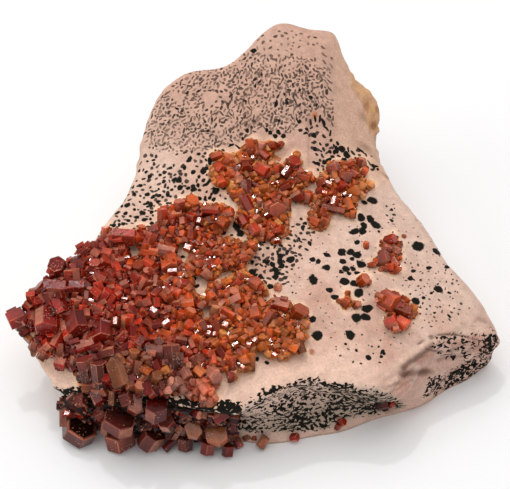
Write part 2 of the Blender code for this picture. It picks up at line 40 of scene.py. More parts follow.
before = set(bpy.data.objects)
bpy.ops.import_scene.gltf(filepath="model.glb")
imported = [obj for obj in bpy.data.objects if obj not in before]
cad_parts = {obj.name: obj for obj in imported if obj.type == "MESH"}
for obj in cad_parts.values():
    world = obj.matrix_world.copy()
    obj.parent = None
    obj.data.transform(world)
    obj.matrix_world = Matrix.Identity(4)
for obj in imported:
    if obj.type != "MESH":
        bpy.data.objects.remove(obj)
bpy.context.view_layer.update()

MM = 0.001
# Move in plan that centres the whole specimen's box over the origin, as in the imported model
SHIFT = (0.85, 2.84, 0.0)

# View of the photograph, and the millimetres that one of its pixels covers
PHOTO_WIDTH, PHOTO_HEIGHT = 510, 489
VIEW_ELEVATION = 50.0
VIEW_DISTANCE = 380.0
VIEW_LENS = 135.0
VIEW_TARGET = (0.0, 0.0, 12.0)
SENSOR_WIDTH = 36.0
PIXEL = 0.1987

# Places of the lights, in metres
KEY_PLACE = (-0.10, 0.12, 0.85)
SIDE_PLACE = (-0.85, -0.10, 0.45)
GLINT_PLACE = (-0.12, 0.35, 0.85)

# Stone: middle of its polar grid, drop of the top at its edge, and how softly the top follows its
# given heights
CENTRE_X, CENTRE_Y = 0.0, -6.0
EDGE_DROP = 0.8
SMOOTHING = 2.0

# Angle in degrees, radius of the top edge, radius of the foot, depth of the hollow between them
STATIONS = (
    (0,36.8,33,0.5), (13,34.2,30.5,0.5), (24,32.6,30,0), (35,32.8,30,0), (45,35.2,33,-1), (50,37.4,35,-1),
    (54,42.2,37,-0.5), (58,42.8,39,-0.5), (62,42.2,40,0), (66,44,41,0), (70,46.6,42,0.5), (76,45.2,42,0),
    (84,44.8,41,0), (92,38.8,39.5,-1), (100,36.5,38,-1), (110,38.7,38,0.5), (117,38.6,36.5,0.5),
    (124,36.4,34.5,0), (133,33,31.5,-1), (140,30,29.5,-1), (150,28.6,27.5,0), (160,28.4,26.5,0.5),
    (171,30.2,27.5,1), (180,32.5,29.5,1.5), (187,37,33.5,1.5), (192,42,37,2), (198,46.5,39.5,2),
    (204,47,39.5,2.5), (211,46.8,38.5,2.5), (218,46.2,36.5,3.5), (226,43.4,34,4.5), (235,40.6,31.5,4.5),
    (245,38.4,31,3.5), (255,37,32,2.5), (266,35.8,33,2), (277,33.4,33.6,2.5), (288,32.2,33.6,2.5),
    (298,35.2,34.8,3), (309,41,36,2), (316,40.5,38,0.5), (323,39.5,40.6,-0.5), (331,41.5,42.8,0),
    (337,46.6,45.8,-0.5), (342,49.4,46.8,-1), (346.5,45.8,43.4,-1), (353,40.2,37.5,0.5),
)

# Heights of the top at places along its edge and inside it, as x, y, z
EDGE_HEIGHTS = (
    (5,38,37), (11,37,36), (16.5,37,34.5), (-1.6,32,35), (-6,30,33.5), (-13,30.4,31.5), (-17,28.5,29.5),
    (-19.5,25,28.5), (-22.5,17.6,25), (-22.3,13.7,23), (-24.4,9,21.5), (-26.4,5,20.5), (-30,-1.5,20),
    (-32.7,-5.6,19.5), (-40,-11.5,18), (-44,-17,17.5), (-46.5,-21,16.5), (-44.5,-24,14), (-42.4,-27.6,12),
    (-40.3,-30.8,10), (-36.8,-34.9,9), (-29,-37.5,12), (-19.4,-39.5,14.5), (-10,-41.7,15), (-2.7,-42,15),
    (4,-39.5,16), (10.3,-36.6,17), (16.6,-37.7,16), (26.9,-38.5,13), (30,-33,12.5), (31,-28,15), (38,-25,14),
    (46,-21.5,10.5), (43.3,-17,14), (38.7,-11,16), (34.2,-3,17), (28.8,6.8,18), (27,12,18.5), (24.9,18.6,20),
)
INNER_HEIGHTS = (
    (0,-10,20), (0,2,22), (0,12,25), (0,20,29.5), (-12,20,28), (8,28,34), (-12,10,24), (14,10,24),
    (14,0,21.5), (15,-12,19.5), (28,-10,18), (15,-25,18), (0,-25,18.3), (-15,-10,20.5), (-15,-25,18.8),
    (-30,-15,19.5), (-32,-26,16.5), (14,20,29), (15,30,34.5),
)

# Right facet: it falls away from a crease that runs from the summit towards the front
CREASE_BACK = (15.5, 36.0)
CREASE_FRONT = (15.0, 10.0)
CREST_HEIGHT = 35.5
CREST_FALL = 0.40
FACET_SLOPE = 0.9
FACET_START_Y, FACET_FADE = 8.0, 8.0
CREASE_WIDTH = 0.6
# How far along the crease it falls, and how high the facet is lifted out of the way in front
CREST_RUN, FACET_AWAY = (-5, 40), 20

# Uneven waves on the top and on the wall, the wall's waves as number round the stone and pitch
# down it, and lumps on the wall as angle, place, width, height
SWELL_HEIGHT = 0.28
WALL_SWELL = 0.45
WALL_WAVES = ((9, 3.1), (14, -2.2))
LUMP_DEPTH = 0.2
WALL_LUMPS = ((54, 0.15, 5.0, 1.0), (44, 0.45, 7.0, 1.4), (110, 0.5, 9.0, 1.2), (20, 0.6, 9.0, 1.0))

# Depth of the ledge's crust within the wall, and how far a group's crust sinks into the stone
# outside its outline
CRUST_DEPTH = 2.2
CRUST_SINK = 1.2
# Least gap between a crust's skin and the stone's edge, share of its reach where the skin starts,
# and its lower rings as share of the reach and depth
CRUST_MARGIN, CRUST_START = 1.1, 0.02
CRUST_FEET = ((1.0, 1.3), (0.9, 1.9), (0.4, 2.2))
# Widths in pixels over which the crust rises inside a group's edge and sinks outside it
CRUST_EDGE, CRUST_FADE = 8.0, 2.5

# Tones of the crystals, from near black (-1) and maroon (0) to amber (5), pale pink (6),
# salmon (7), rosy brown (8) and honey brown (9), as the screen shows them
TONES = (
    (50,12,12), (122,22,19), (168,34,21), (200,56,27), (228,98,40), (234,126,52), (236,154,84),
    (228,150,128), (238,120,84), (136,57,47), (166,92,52),
)
DARKEST_TONE = -1

# Shares of the read sizes that placed crystals and mirroring ones are given
PLACED_WIDTH, PLACED_LENGTH, GLINT_SHARE = 0.92, 0.86, 0.8
# Single crystals as pixel x, pixel y, width and length in pixels, angle of the axis in the picture,
# tilt of the axis towards the viewer, turn about the axis (all in degrees) and tone
MAIN_CRYSTALS = (
    (55,288,17,25,-3,0,30,1), (73,279,17,22,97,8,30,1.5), (77,287,14,17,0,0,30,1.5),
    (57,269,20,18,100,50,10,1), (60,306,19,18,-66,12,0,1), (83,310,11,12,80,10,20,2),
    (75,304,11,11,75,20,30,1.7), (98,308,10,13,-20,5,15,2), (102,333,21,18,-85,42,30,1),
    (84,345,17,25,17,0,35,1), (47,322,27,24,-85,42,30,0.7), (78,326,27,24,-70,45,30,1.3),
    (46,347,15,15,45,15,0,1.8), (61,349,10,14,88,10,0,1.5), (16,318,21,19,205,10,30,1),
    (27,307,9,9,-40,10,0,2), (31,298,12,12,100,30,30,1.5), (36,304,11,11,60,40,0,1.2),
    (31,322,9,11,70,10,0,1.5), (22,321,12,12,20,30,30,1.2), (86,250,15,18,40,5,20,2),
    (86,260,7,6,10,10,0,2.2), (100,278,12,14,-25,8,0,1.4), (107,272,7,8,40,5,0,1.7),
    (97,293,13,13,-40,20,0,1.7), (112,286,9,9,10,15,0,2), (118,290,9,10,60,10,0,2), (112,300,9,12,60,5,0,2),
    (118,307,8,8,80,10,0,2), (126,307,7,6,-10,5,0,2.2), (125,322,11,14,85,20,30,2.2),
    (122,338,10,14,45,5,0,1.5), (113,344,7,6,-30,5,0,2.2), (87,369,19,27,104,24,35,8),
    (100,375,19,28,96,14,10,8), (80,358,14,14,60,20,0,8), (118,374,18,30,-68,12,20,9),
    (134,355,12,12,80,30,0,9), (62,362,16,13,-10,20,30,1), (72,366,12,12,-60,10,0,0.8),
    (155,352,17,18,0,0,30,8), (172,356,18,25,95,5,35,8), (146,355,9,9,35,5,0,2), (134,341,7,7,0,5,0,1.7),
    (187,374,13,12,-60,30,30,6.4), (205,390,12,12,-50,30,10,7), (209,402,10,10,0,20,30,7),
    (213,375,16,13,-35,56,0,6.3), (176,384,12,14,50,30,0,6), (171,383,10,11,60,40,0,6),
    (167,391,9,10,20,50,0,6.1), (198,385,10,10,60,30,0,6.9), (211,393,10,9,100,40,0,7),
    (203,398,10,10,-80,40,0,7.1), (214,385,9,9,20,50,0,7), (196,391,9,9,-10,50,0,6.8),
    (214,399,8,8,50,40,0,7), (206,381,9,9,-40,40,0,7), (192,383,9,9,30,60,0,6.6),
    (184,389,10,9,-70,40,0,6.2), (156,378,13,13,60,40,0,9), (231,377,10,9,90,45,30,1.5),
    (223,354,10,16,-55,5,0,2), (245,354,8,10,85,5,0,3), (251,362,9,20,88,5,30,4),
    (232,364,10,16,95,10,30,2.5), (147,371,12,12,-30,20,0,3.4), (200,372,12,12,-40,20,0,3.8),
    (166,371,11,11,30,30,0,4.4), (190,394,10,10,-30,30,0,6.8), (124,237,20,25,-3,0,30,2),
    (105,233,9,14,88,10,0,2.8), (150,240,15,17,70,5,30,2.2), (146,253,9,12,-15,5,0,2.5),
    (153,260,8,10,60,5,0,3), (169,246,9,11,-35,5,0,2.6), (163,233,9,10,75,10,0,2.6),
    (172,231,8,11,90,5,0,2.6), (162,216,13,17,90,8,30,2.2), (180,207,14,16,95,25,20,2.3),
    (191,203,15,14,60,40,0,3.2), (172,220,10,11,90,10,0,2), (211,211,12,18,-3,10,0,1.9),
    (228,213,11,13,20,20,0,2.3), (223,223,13,12,-30,30,0,3), (169,263,19,17,-80,40,30,2.6),
    (166,251,15,20,-15,0,30,2.8), (141,284,10,17,62,5,0,2), (161,285,8,11,95,5,0,2.6),
    (164,297,9,12,-50,10,0,2.6), (176,293,12,13,-20,25,30,2.4), (187,299,10,12,40,20,0,2.8),
    (178,304,9,10,10,30,0,2.2), (188,304,11,14,8,5,0,3), (147,302,11,11,20,10,0,1.5),
    (131,320,9,14,88,5,0,2), (149,323,9,12,-35,5,0,2.4), (145,334,8,14,-60,5,0,2.2),
    (154,338,8,8,0,10,0,2.4), (166,334,9,12,-25,10,0,3), (216,328,10,18,-65,5,0,2.4),
    (204,326,9,11,-60,10,0,2), (202,342,8,9,85,5,0,2.5), (218,263,9,9,40,10,0,2.4),
    (226,266,8,7,-20,10,0,2.2), (237,283,10,10,45,10,0,2.2), (255,284,14,14,-30,25,30,2.8),
    (260,288,8,8,20,10,0,2.4), (254,303,8,7,-30,10,0,2.6), (255,314,13,13,-80,40,0,3),
    (281,304,16,19,-15,5,30,2.2), (299,314,17,17,60,40,0,2.8), (304,322,10,12,-40,20,0,4.4),
    (270,318,12,16,60,5,30,2.4), (258,331,8,8,40,10,0,2.8), (254,324,8,9,-40,10,0,2.8),
    (270,334,9,12,85,5,0,3), (284,333,10,11,-30,25,0,4), (291,346,14,17,-25,10,0,3.4),
    (301,347,9,14,-70,10,0,3.6), (262,347,10,10,30,40,0,3.8), (237,300,13,15,30,20,30,2.6),
    (228,314,12,16,-30,10,30,2.6), (245,316,9,12,50,10,0,2.8), (238,333,12,14,20,20,30,3.6),
    (25,331,11,12,40,20,0,1.2), (30,338,12,12,-40,30,0,9), (35,345,12,12,70,20,0,1.6),
    (36,352,10,10,10,20,0,9), (42,357,9,9,-30,20,0,9),
)
UPPER_CRYSTALS = (
    (250,146,11,17,100,10,30,2.8), (264,155,10,13,-42,20,0,2.2), (272,146,9,12,15,35,0,2.4),
    (280,145,8,9,40,40,0,2.6), (261,148,8,12,80,15,0,6.3), (259,203,6,9,80,30,0,6.2),
    (217,156,9,13,20,10,30,2.6), (227,161,11,13,50,30,0,2.8), (219,168,12,12,-40,40,0,2.4),
    (222,181,12,12,-70,45,0,2.5), (230,175,10,11,30,30,0,2.8), (246,167,12,11,-80,55,0,2.2),
    (262,170,13,17,-30,30,0,2.1), (236,169,8,8,50,5,0,6.3), (237,175,8,8,45,5,0,6.5),
    (268,175,8,8,40,10,0,2.6), (277,171,8,14,88,5,0,2.4), (294,164,14,13,60,50,0,1.9),
    (304,178,10,15,-15,20,0,2.6), (299,172,9,10,40,30,0,2.2), (286,187,12,12,30,10,0,2.2),
    (246,187,11,16,-85,10,30,2.2), (248,207,11,26,-63,8,0,1.9), (277,209,20,12,-60,68,0,7.3),
    (287,205,9,15,95,5,0,3), (243,200,8,14,-70,20,30,2.6), (254,230,13,13,-60,30,30,2.2),
    (262,232,9,10,85,5,0,2.6), (278,230,11,12,20,30,0,2.2), (270,236,9,10,60,30,0,2.4),
    (272,225,9,10,-30,20,0,2.6), (265,189,12,14,10,20,30,3.8), (298,196,12,13,30,20,30,2),
    (308,197,10,12,80,20,0,2.3), (243,221,11,12,-60,20,0,1.6), (296,156,10,10,70,40,0,4),
    (232,187,11,11,50,30,0,5), (277,158,9,12,-35,20,0,4.8),
)
RIGHT_CRYSTALS = (
    (333,168,12,13,20,30,0,7.6), (360,163,10,13,75,20,0,2.8), (344,176,13,12,-20,50,0,7.5),
    (349,164,10,12,30,20,0,2.6), (364,172,9,11,60,30,0,2.8), (354,174,9,10,-40,30,0,2.4),
    (341,187,11,12,60,30,0,1.8), (333,209,9,27,-13,0,0,0.9), (354,192,12,12,30,20,0,3.8),
    (322,183,9,11,30,20,0,2.4), (326,201,8,9,60,20,0,2.2), (362,186,9,9,60,10,0,4.8),
    (370,184,8,10,-20,10,0,5), (361,195,9,9,-40,10,0,5), (349,204,11,14,-70,15,30,3.4),
    (353,214,8,9,80,20,0,3.4), (321,214,11,11,40,40,0,2.6), (326,219,9,9,-30,30,0,2.4),
    (315,222,10,10,-30,20,0,3), (324,222,10,11,60,20,0,3.4), (320,190,9,9,40,20,0,2.2),
    (315,199,7,9,80,10,0,4.6),
)
EAST_CRYSTALS = (
    (390,240,12,12,20,30,0,2), (386,250,11,12,60,20,30,2.2), (396,250,10,11,-30,20,0,2),
    (384,258,13,14,40,30,30,2.2), (394,262,10,11,-60,10,0,2.4), (378,260,8,10,30,10,0,2.6),
    (390,267,9,10,0,20,0,2.4), (397,270,8,8,40,20,0,2.6), (371,265,6,7,20,10,0,2.8),
)
SOUTHEAST_CRYSTALS = (
    (390,301,20,20,-30,35,0,2.6), (399,305,14,12,-20,10,30,2), (403,310,13,18,-20,10,30,2.4),
    (413,310,9,13,70,10,0,4.2), (392,322,13,14,30,20,30,2), (403,323,13,14,-30,20,30,2.4),
    (396,327,12,12,-80,30,0,2.2),
)
MIDDLE_CRYSTALS = ((363,280,13,12,40,40,0,2.8), (368,282,7,7,-20,20,0,2.6))
SOUTH_CRYSTALS = (
    (346,303,9,10,60,20,30,2.8), (348,294,6,8,88,10,0,3.4), (357,305,8,8,50,50,0,3),
    (339,301,5,6,-30,10,0,3.6),
)
STRAY_CRYSTALS = ((366,245,7,8,88,20,0,3.2), (404,236,4,4,0,40,0,3.4), (278,287,8,7,0,30,0,5.6))
# Single crystals low on the front wall, given in the same way
WALL_CRYSTALS = (
    (341,421,9,8,30,40,0,1.9), (295,437,10,8,10,30,0,0.8), (382,405,8,14,12,20,0,8),
    (391,403,7,7,50,40,0,0.6), (337,425,7,7,60,30,0,1.8),
)
# Least widths in pixels of the crystals under the ledge that end in a hollow or in a face darkened by painted
# shade
HOLLOW_WIDTH, DARK_WIDTH = 38, 26
# Crystals under the ledge, given in the same way
LEDGE_CRYSTALS = (
    (91,427,41,20,58,50,0,8), (69,414,15,22,90,5,30,8), (104,413,12,12,40,5,0,8), (126,415,35,13,80,36,30,8),
    (127,435,35,22,97,42,30,7.8), (155,441,27,20,55,30,0,8), (187,443,17,15,90,30,30,8),
    (195,425,20,14,80,72,0,9), (217,430,24,18,98,68,30,9), (160,404,27,17,85,40,30,0.4),
    (170,417,20,16,110,64,30,8), (138,401,20,13,60,68,0,8), (130,396,15,13,20,30,0,8),
    (114,396,9,15,85,10,0,9), (84,398,14,11,10,30,0,8), (75,397,10,11,40,10,0,8),
    (101,396,13,14,-60,30,0,0.4), (227,441,9,10,40,5,0,0.6), (228,450,13,12,80,20,30,0.8),
    (209,446,18,14,80,20,30,0.2), (254,436,7,10,85,5,0,2.6), (247,437,8,8,30,20,0,9),
    (263,442,12,13,60,10,30,9), (185,414,8,7,30,5,0,8), (172,445,12,18,42,0,30,0.2),
    (238,443,10,10,-60,20,0,0.4), (110,424,14,16,80,20,30,0.6),
)
# Crystals one of whose sides mirrors the small bright light, as pixel x, pixel y, width, length, angle, tone
MAIN_GLINTS = (
    (116,323,13,10,90,2.4), (154,312,13,9,-40,2), (166,324,13,10,50,2.2), (188,248,12,8,-30,2.6),
    (199,222,11,7,80,2.4), (226,325,11,7,-25,2.8), (210,328,9,5,0,2.4), (209,334,9,5,80,2.4),
    (215,335,8,5,80,2.6), (235,345,9,8,40,3), (249,345,8,6,-20,3), (255,341,8,6,60,3), (240,364,5,6,0,3),
    (243,367,7,5,-40,3.2), (275,355,8,6,-40,3), (283,350,4,5,-50,3.2), (272,345,4,3,30,3.4),
    (125,299,6,7,-20,2.4), (91,301,6,7,-35,2), (107,345,4,9,45,1.6), (52,281,6,8,25,1.4),
    (158,330,4,6,88,2.2), (197,332,4,6,50,2.6), (41,324,4,5,20,1.6), (65,326,6,5,40,1.8), (289,312,4,4,0,3),
    (283,316,4,4,50,3),
)
UPPER_GLINTS = (
    (286,172,11,14,65,2.4), (253,158,7,4,10,2.6), (249,181,6,4,30,2.6), (273,184,5,3,30,3.2),
    (257,212,5,5,80,2.4), (267,215,9,6,45,2), (277,241,9,7,10,2.2),
)
RIGHT_GLINTS = (
    (329,184,9,8,-30,2.6), (325,194,9,6,-10,2.4), (334,202,11,11,80,2.2), (331,170,6,4,0,2.6),
    (345,194,6,5,40,3.4), (392,248,3,3,0,3),
)
LEDGE_GLINTS = ((70,412,13,9,85,1.4), (84,399,10,9,10,6), (150,418,4,8,-50,1))
SOUTHEAST_GLINTS = ((400,319,7,5,10,2.4), (384,318,4,4,30,2.8))

# Outlines of the groups and of the gaps in them where the stone shows, in pixels
MAIN_OUTLINE = (
    (50,262), (58,258), (66,261), (75,255), (84,246), (92,243), (100,237), (101,228), (109,226), (112,231),
    (120,229), (134,230), (138,226), (150,227), (157,222), (157,210), (163,206), (172,205), (176,201),
    (182,198), (192,197), (198,201), (202,204), (207,203), (222,203), (234,210), (234,218), (229,228),
    (222,232), (221,237), (233,237), (245,241), (256,239), (262,243), (258,252), (250,258), (247,268),
    (250,276), (258,278), (266,284), (270,292), (262,298), (266,302), (273,298), (281,297), (290,303),
    (300,305), (308,314), (309,326), (306,332), (310,337), (303,342), (305,352), (294,354), (287,360),
    (276,359), (268,358), (262,353), (255,351), (253,356), (254,370), (248,373), (238,373), (236,380),
    (228,381), (225,372), (219,370), (222,383), (213,381), (217,392), (219,400), (214,406), (203,409),
    (198,401), (190,397), (175,395), (160,400), (140,410), (110,408), (84,392), (80,388), (75,375), (60,365),
    (57,357), (45,357), (38,350), (37,345), (33,331), (16,332), (5,312), (28,291), (43,282),
)
MAIN_GAPS = (
    ((128,246), (137,245), (139,252), (139,257), (131,257)),
    ((178,246), (184,243), (185,251), (190,254), (187,260), (181,264), (177,258)),
    ((194,276), (199,274), (208,281), (209,287), (205,292), (201,297), (196,292), (194,284)),
    ((214,279), (222,273), (233,270), (232,275), (226,278), (216,280)),
    ((203,308), (209,305), (210,317), (202,319)),
)
UPPER_OUTLINE = (
    (213,152), (220,150), (232,154), (240,149), (247,140), (254,138), (262,143), (272,141), (283,142),
    (281,150), (273,152), (273,160), (281,164), (287,160), (296,152), (302,158), (302,170), (313,172),
    (317,180), (312,184), (304,187), (300,189), (312,191), (316,200), (312,206), (303,204), (292,197),
    (290,205), (290,216), (288,228), (289,236), (279,238), (283,244), (273,246), (268,238), (258,242),
    (245,239), (246,228), (242,229), (236,222), (238,206), (232,198), (226,191), (232,187), (218,187),
    (212,182), (208,172), (210,165), (217,163), (210,155),
)
UPPER_GAPS = (((262,201), (267,201), (267,210), (261,209)),)
RIGHT_OUTLINE = (
    (316,178), (326,170), (328,162), (340,161), (352,160), (358,157), (366,160), (366,172), (361,178),
    (370,179), (375,184), (373,189), (366,190), (366,198), (358,200), (356,208), (357,218), (350,219),
    (343,214), (331,214), (330,222), (327,230), (313,230), (307,220), (309,210), (314,205), (312,196),
    (318,190), (316,184),
)
EAST_OUTLINE = (
    (385,236), (394,233), (398,240), (402,243), (401,252), (402,258), (398,262), (401,266), (401,272),
    (395,275), (386,271), (378,270), (381,265), (372,267), (368,266), (369,262), (376,260), (378,254),
    (381,250), (380,243),
)
SOUTHEAST_OUTLINE = (
    (382,298), (390,292), (398,293), (409,300), (409,305), (417,306), (417,316), (410,320), (410,327),
    (402,331), (391,330), (384,322), (386,315), (390,311), (382,309),
)
MIDDLE_OUTLINE = ((357,277), (362,273), (368,275), (371,280), (368,287), (361,286))
SOUTH_OUTLINE = (
    (345,291), (349,290), (351,297), (353,300), (360,301), (361,306), (357,309), (351,306), (347,311),
    (342,308), (341,303), (336,300), (338,298), (344,299),
)
# Crust under the ledge: angles where it starts and ends, how far it stands off the edge at angles,
# how far it is sunk at its ends, drawn in at the top and at the foot, points of its grid, and the
# height where its black band ends
LEDGE_START, LEDGE_END = 214.0, 272.0
LEDGE_SWELL = ((214, 1.0), (220, 1.6), (232, 1.2), (244, 0.2), (258, -0.6), (277, -1.0))
LEDGE_SUNK, LEDGE_IN, LEDGE_DRAW = 1.5, 0.6, 2.2
LEDGE_GRID, LEDGE_BAND = (220, 48), 14

# Black spots as pixel x, pixel y and radius in pixels
ROUND_SPOTS = (
    (189,160,2.8), (184,168,2), (193,172,2.2), (203,171,2.7), (206,168,1.8), (174,180,2.3), (179,180,2.7),
    (164,182,2), (180,188,2.7), (188,188,2), (193,190,2.5), (198,185,2), (216,191,3.5), (149,177,2.2),
    (168,195,2.3), (151,204,3), (147,202,2), (159,202,1.8), (127,205,3), (124,200,2), (134,194,2.2),
    (134,210,1.8), (142,213,2.7), (137,217,2.2), (144,220,2.5), (152,212,2.2), (151,224,2.2), (117,213,2),
    (126,213,2), (129,221,2), (113,225,2), (119,225,1.7), (124,225,1.7), (98,236,1.5), (199,198,1.8),
    (205,198,1.8), (210,197,1.8), (214,199,1.8), (235,199,3), (240,234,3.5), (224,232,2.5), (231,236,1.5),
    (168,203,1.5), (153,197,2), (159,196,2), (147,194,2), (158,189,1.3), (141,185,1.7), (182,257,2),
    (227,278,2), (195,278,2.3), (197,287,2), (253,51,2.3), (287,103,1.5), (279,121,1.6), (247,130,1.7),
    (242,138,1.5), (314,133,2.2), (314,147,2), (271,132,2.2), (275,136,2.2), (279,132,2), (283,136,2.2),
    (267,130,1.8), (330,150,1.8), (347,154,3), (342,148,3), (367,167,1.8), (373,166,2), (377,169,1.3),
    (338,141,1.8), (317,335,5), (313,319,3), (256,359,3), (267,362,2), (260,278,2.5), (276,277,2.7),
    (280,261,2.8), (282,265,2.8), (276,269,3), (278,273,2.8), (273,265,2.5), (268,262,2.5), (265,260,2),
    (281,256,2.5), (290,259,3), (312,260,2.3), (318,261,2.5), (252,262,1.7), (293,292,1), (309,294,1),
    (364,202,3), (372,200,4.5), (362,230,3.5), (364,226,3), (358,242,2.5), (379,232,1.3), (342,252,3.5),
    (350,252,3.3), (357,255,4), (343,262,3), (346,269,3), (353,269,2.8), (352,259,2.6), (361,264,4),
    (341,271,2), (348,273,2), (345,282,4), (354,283,3.5), (359,293,4.5), (330,290,2.5), (335,297,3.3),
    (357,318,4.7), (366,317,4), (350,335,4.2), (418,246,5), (437,252,3.5), (414,271,2), (411,278,2.5),
    (439,289,3.7), (432,293,1.5), (450,293,1.8), (424,298,1.8), (416,302,3.5), (429,268,2), (396,238,2.5),
    (391,209,1.6), (393,214,1.1), (391,220,1.6), (368,358,2.4), (383,353,2), (357,350,1.5), (381,357,1.6),
    (346,344,1.4), (440,307,1.2), (449,316,1.4),
)
# Long black spots as pixel x, pixel y, half length, half width in pixels and turn in degrees
LONG_SPOTS = (
    (210,161,3.2,2,90), (207,183,4,1.5,40), (226,188,4,1.8,20), (92,241,3,1.5,30), (237,226,6,4,90),
    (231,146,3,1.3,20), (239,147,4,1.2,-20), (276,103,2.8,1.3,80), (300,121,2.4,1.6,0), (344,160,4,2.5,60),
    (337,148,4,2.2,90), (328,159,5,1.6,40), (316,161,4,1.6,0), (361,151,4,1.5,-20), (313,279,5.5,4,110),
    (270,286,3,2.5,0), (253,273,4,3,90), (265,300,2,1,0), (361,218,5,3.5,90), (371,219,4.5,3.6,100),
    (376,225,5,4,140), (354,231,4.6,3,40), (357,273,3,1.8,20), (326,268,3.7,2.5,0), (328,256,3.5,2,-40),
    (367,308,5,3.5,10), (447,267,2.6,2,60), (382,352,3.4,1.5,50),
)
# Fields of scattered spots: seed, gap between them, half lengths, half widths, tones, and outline,
# all in pixels
SPOT_FIELDS = (
    (1, 3.3, (0.9,2.4), (0.7,1.15), (0.5,0.9), -0.7,
     ((148,150), (143,128), (156,103), (174,84), (192,72), (226,64), (248,52), (275,60), (300,54), (330,68),
     (333,100), (334,126), (318,106), (300,128), (285,133), (262,128), (240,140), (215,148), (185,152))),
    (9, 5.5, (1.2,2.4), (0.9,1.4), (0.75,1.0), 0.0,
     ((160,118), (180,96), (240,76), (300,70), (326,90), (318,104), (290,124), (240,132), (190,140))),
    (2, 5.6, (1.0,2.2), (0.8,1.3), (0.4,0.85), -0.6,
     ((248,52), (264,32), (285,28), (318,38), (334,60), (330,72), (300,56), (275,62))),
    (3, 4.9, (1.3,2.8), (1.0,1.6), (0.9,1.0), -0.7,
     ((300,130), (316,114), (328,120), (337,142), (356,148), (380,160), (372,172), (345,162), (330,176),
     (312,172), (311,140))),
    (4, 5.0, (1.1,2.2), (1.0,1.8), (0.85,1.0), -0.55,
     ((105,232), (128,195), (142,155), (185,152), (215,150), (228,150), (212,168), (240,190), (232,200),
     (190,200), (150,228), (120,232))),
    (5, 4.8, (1.2,2.6), (1.0,1.8), (0.9,1.0), -0.6,
     ((262,236), (285,232), (300,218), (314,232), (306,252), (294,264), (288,282), (268,292), (256,280),
     (246,262))),
    (6, 8.0, (0.5,1.0), (0.5,0.9), (0.7,1.0), -0.5,
     ((300,236), (345,225), (420,215), (462,290), (440,320), (390,350), (330,350), (318,300), (290,290))),
    (7, 3.9, (0.7,1.5), (0.6,1.1), (0.8,1.0), -1.0,
     ((386,203), (396,203), (397,226), (387,226))),
    (8, 8.5, (0.7,1.6), (0.6,1.1), (0.8,1.0), -0.5,
     ((335,346), (386,345), (392,362), (345,366))),
    (10, 6.5, (0.7,1.5), (0.6,1.1), (0.8,1.0), -0.4,
     ((404,262), (452,268), (470,310), (430,330), (404,290))),
)
PATCHINESS = 16.0
# Places tried for each that fits, spread of the gaps, and usual turn of the strokes with its spread
FIELD_TRIES, FIELD_GAPS, FIELD_TURNS = 9, (0.55, 1.5), (20, 70)

# Regions of the picture where the fine black pattern covers the stone, with how dense it is
DARK_FRONT = (
    (228,424), (235,414), (250,402), (265,395), (286,389), (301,382), (314,379), (325,383), (343,385),
    (374,387), (392,394), (406,406), (397,410), (368,416), (350,418), (330,427), (316,430), (281,432),
    (240,432),
)
DARK_TIP = (
    (422,398), (430,378), (452,370), (475,356), (486,340), (490,328), (500,336), (490,372), (474,386),
    (448,388), (432,397),
)
TIP_STREAKS = ((430,347), (436,337), (455,333), (486,330), (488,344), (470,358), (452,362), (440,356))
FRONT_BROW = (
    (246,401), (262,390), (285,383), (303,379), (318,377), (330,383), (350,383), (365,386), (380,391),
    (396,397), (396,401), (378,398), (350,392), (328,391), (318,394), (300,393), (285,389), (262,398),
)
FRONT_RIGHT = (
    (334,386), (350,384), (372,388), (392,396), (400,404), (380,411), (345,414), (318,420), (326,402),
)
DARK_EDGE = (
    (52,387), (66,388), (84,387), (110,392), (160,395), (200,399), (240,402), (244,420), (160,420), (80,408),
    (58,404),
)
DARK_REGIONS = (
    (DARK_FRONT, 0.62), (FRONT_BROW, 0.74), (FRONT_RIGHT, 0.74), (DARK_TIP, 0.68), (TIP_STREAKS, 0.45),
    (DARK_EDGE, 1.2),
)
# Uncoloured rock of the right tip, and the tan lumps at the upper right
TIP_ROCK = (
    (394,394), (404,372), (420,356), (440,345), (466,336), (486,332), (494,345), (486,368), (470,382),
    (448,386), (430,394), (414,406), (400,408),
)
TAN_LUMPS = (
    (349,66), (357,72), (366,86), (377,96), (384,112), (381,128), (373,140), (368,122), (363,104), (352,86),
)
# Folds of the right tip as their run in pixels, half width in pixels and height in millimetres
TIP_FOLDS = (
    (((370,392), (386,377), (402,366), (420,352), (440,340), (462,322)), 2.4, 0.55),
    (((392,394), (404,379), (420,365), (440,354), (466,346)), 2.6, -0.85),
    (((410,394), (428,375), (452,365), (480,350)), 2.4, 0.55),
)
# Creases of the right tip as their run in pixels, half width in pixels, colour and height; the colours are
# mostly painted shade in the creases, and on the pale ridge a painted highlight
TIP_CREASES = (
    (((418,344), (432,336), (452,334), (470,338), (486,343)), 1.2, (88,70,60), -0.35),
    (((404,368), (412,361), (422,354), (432,346)), 3.6, (116,86,74), -0.5),
    (((402,375), (416,373), (430,372)), 4.4, (112,80,68), -0.6),
    (((392,396), (400,386), (412,380)), 1.8, (150,112,98), -0.3),
    (((428,350), (444,352), (462,348)), 1.2, (92,72,62), -0.2),
    (((438,360), (455,357), (470,352), (480,346)), 1.8, (160,130,116), -0.4),
    (((384,389), (396,384), (412,378)), 1.6, (176,140,124), -0.3),
    (((376,377), (388,369), (404,360)), 2.4, (214,182,162), 0.4),
    (((470,330), (478,318), (486,322)), 1.6, (186,152,136), -0.25),
)
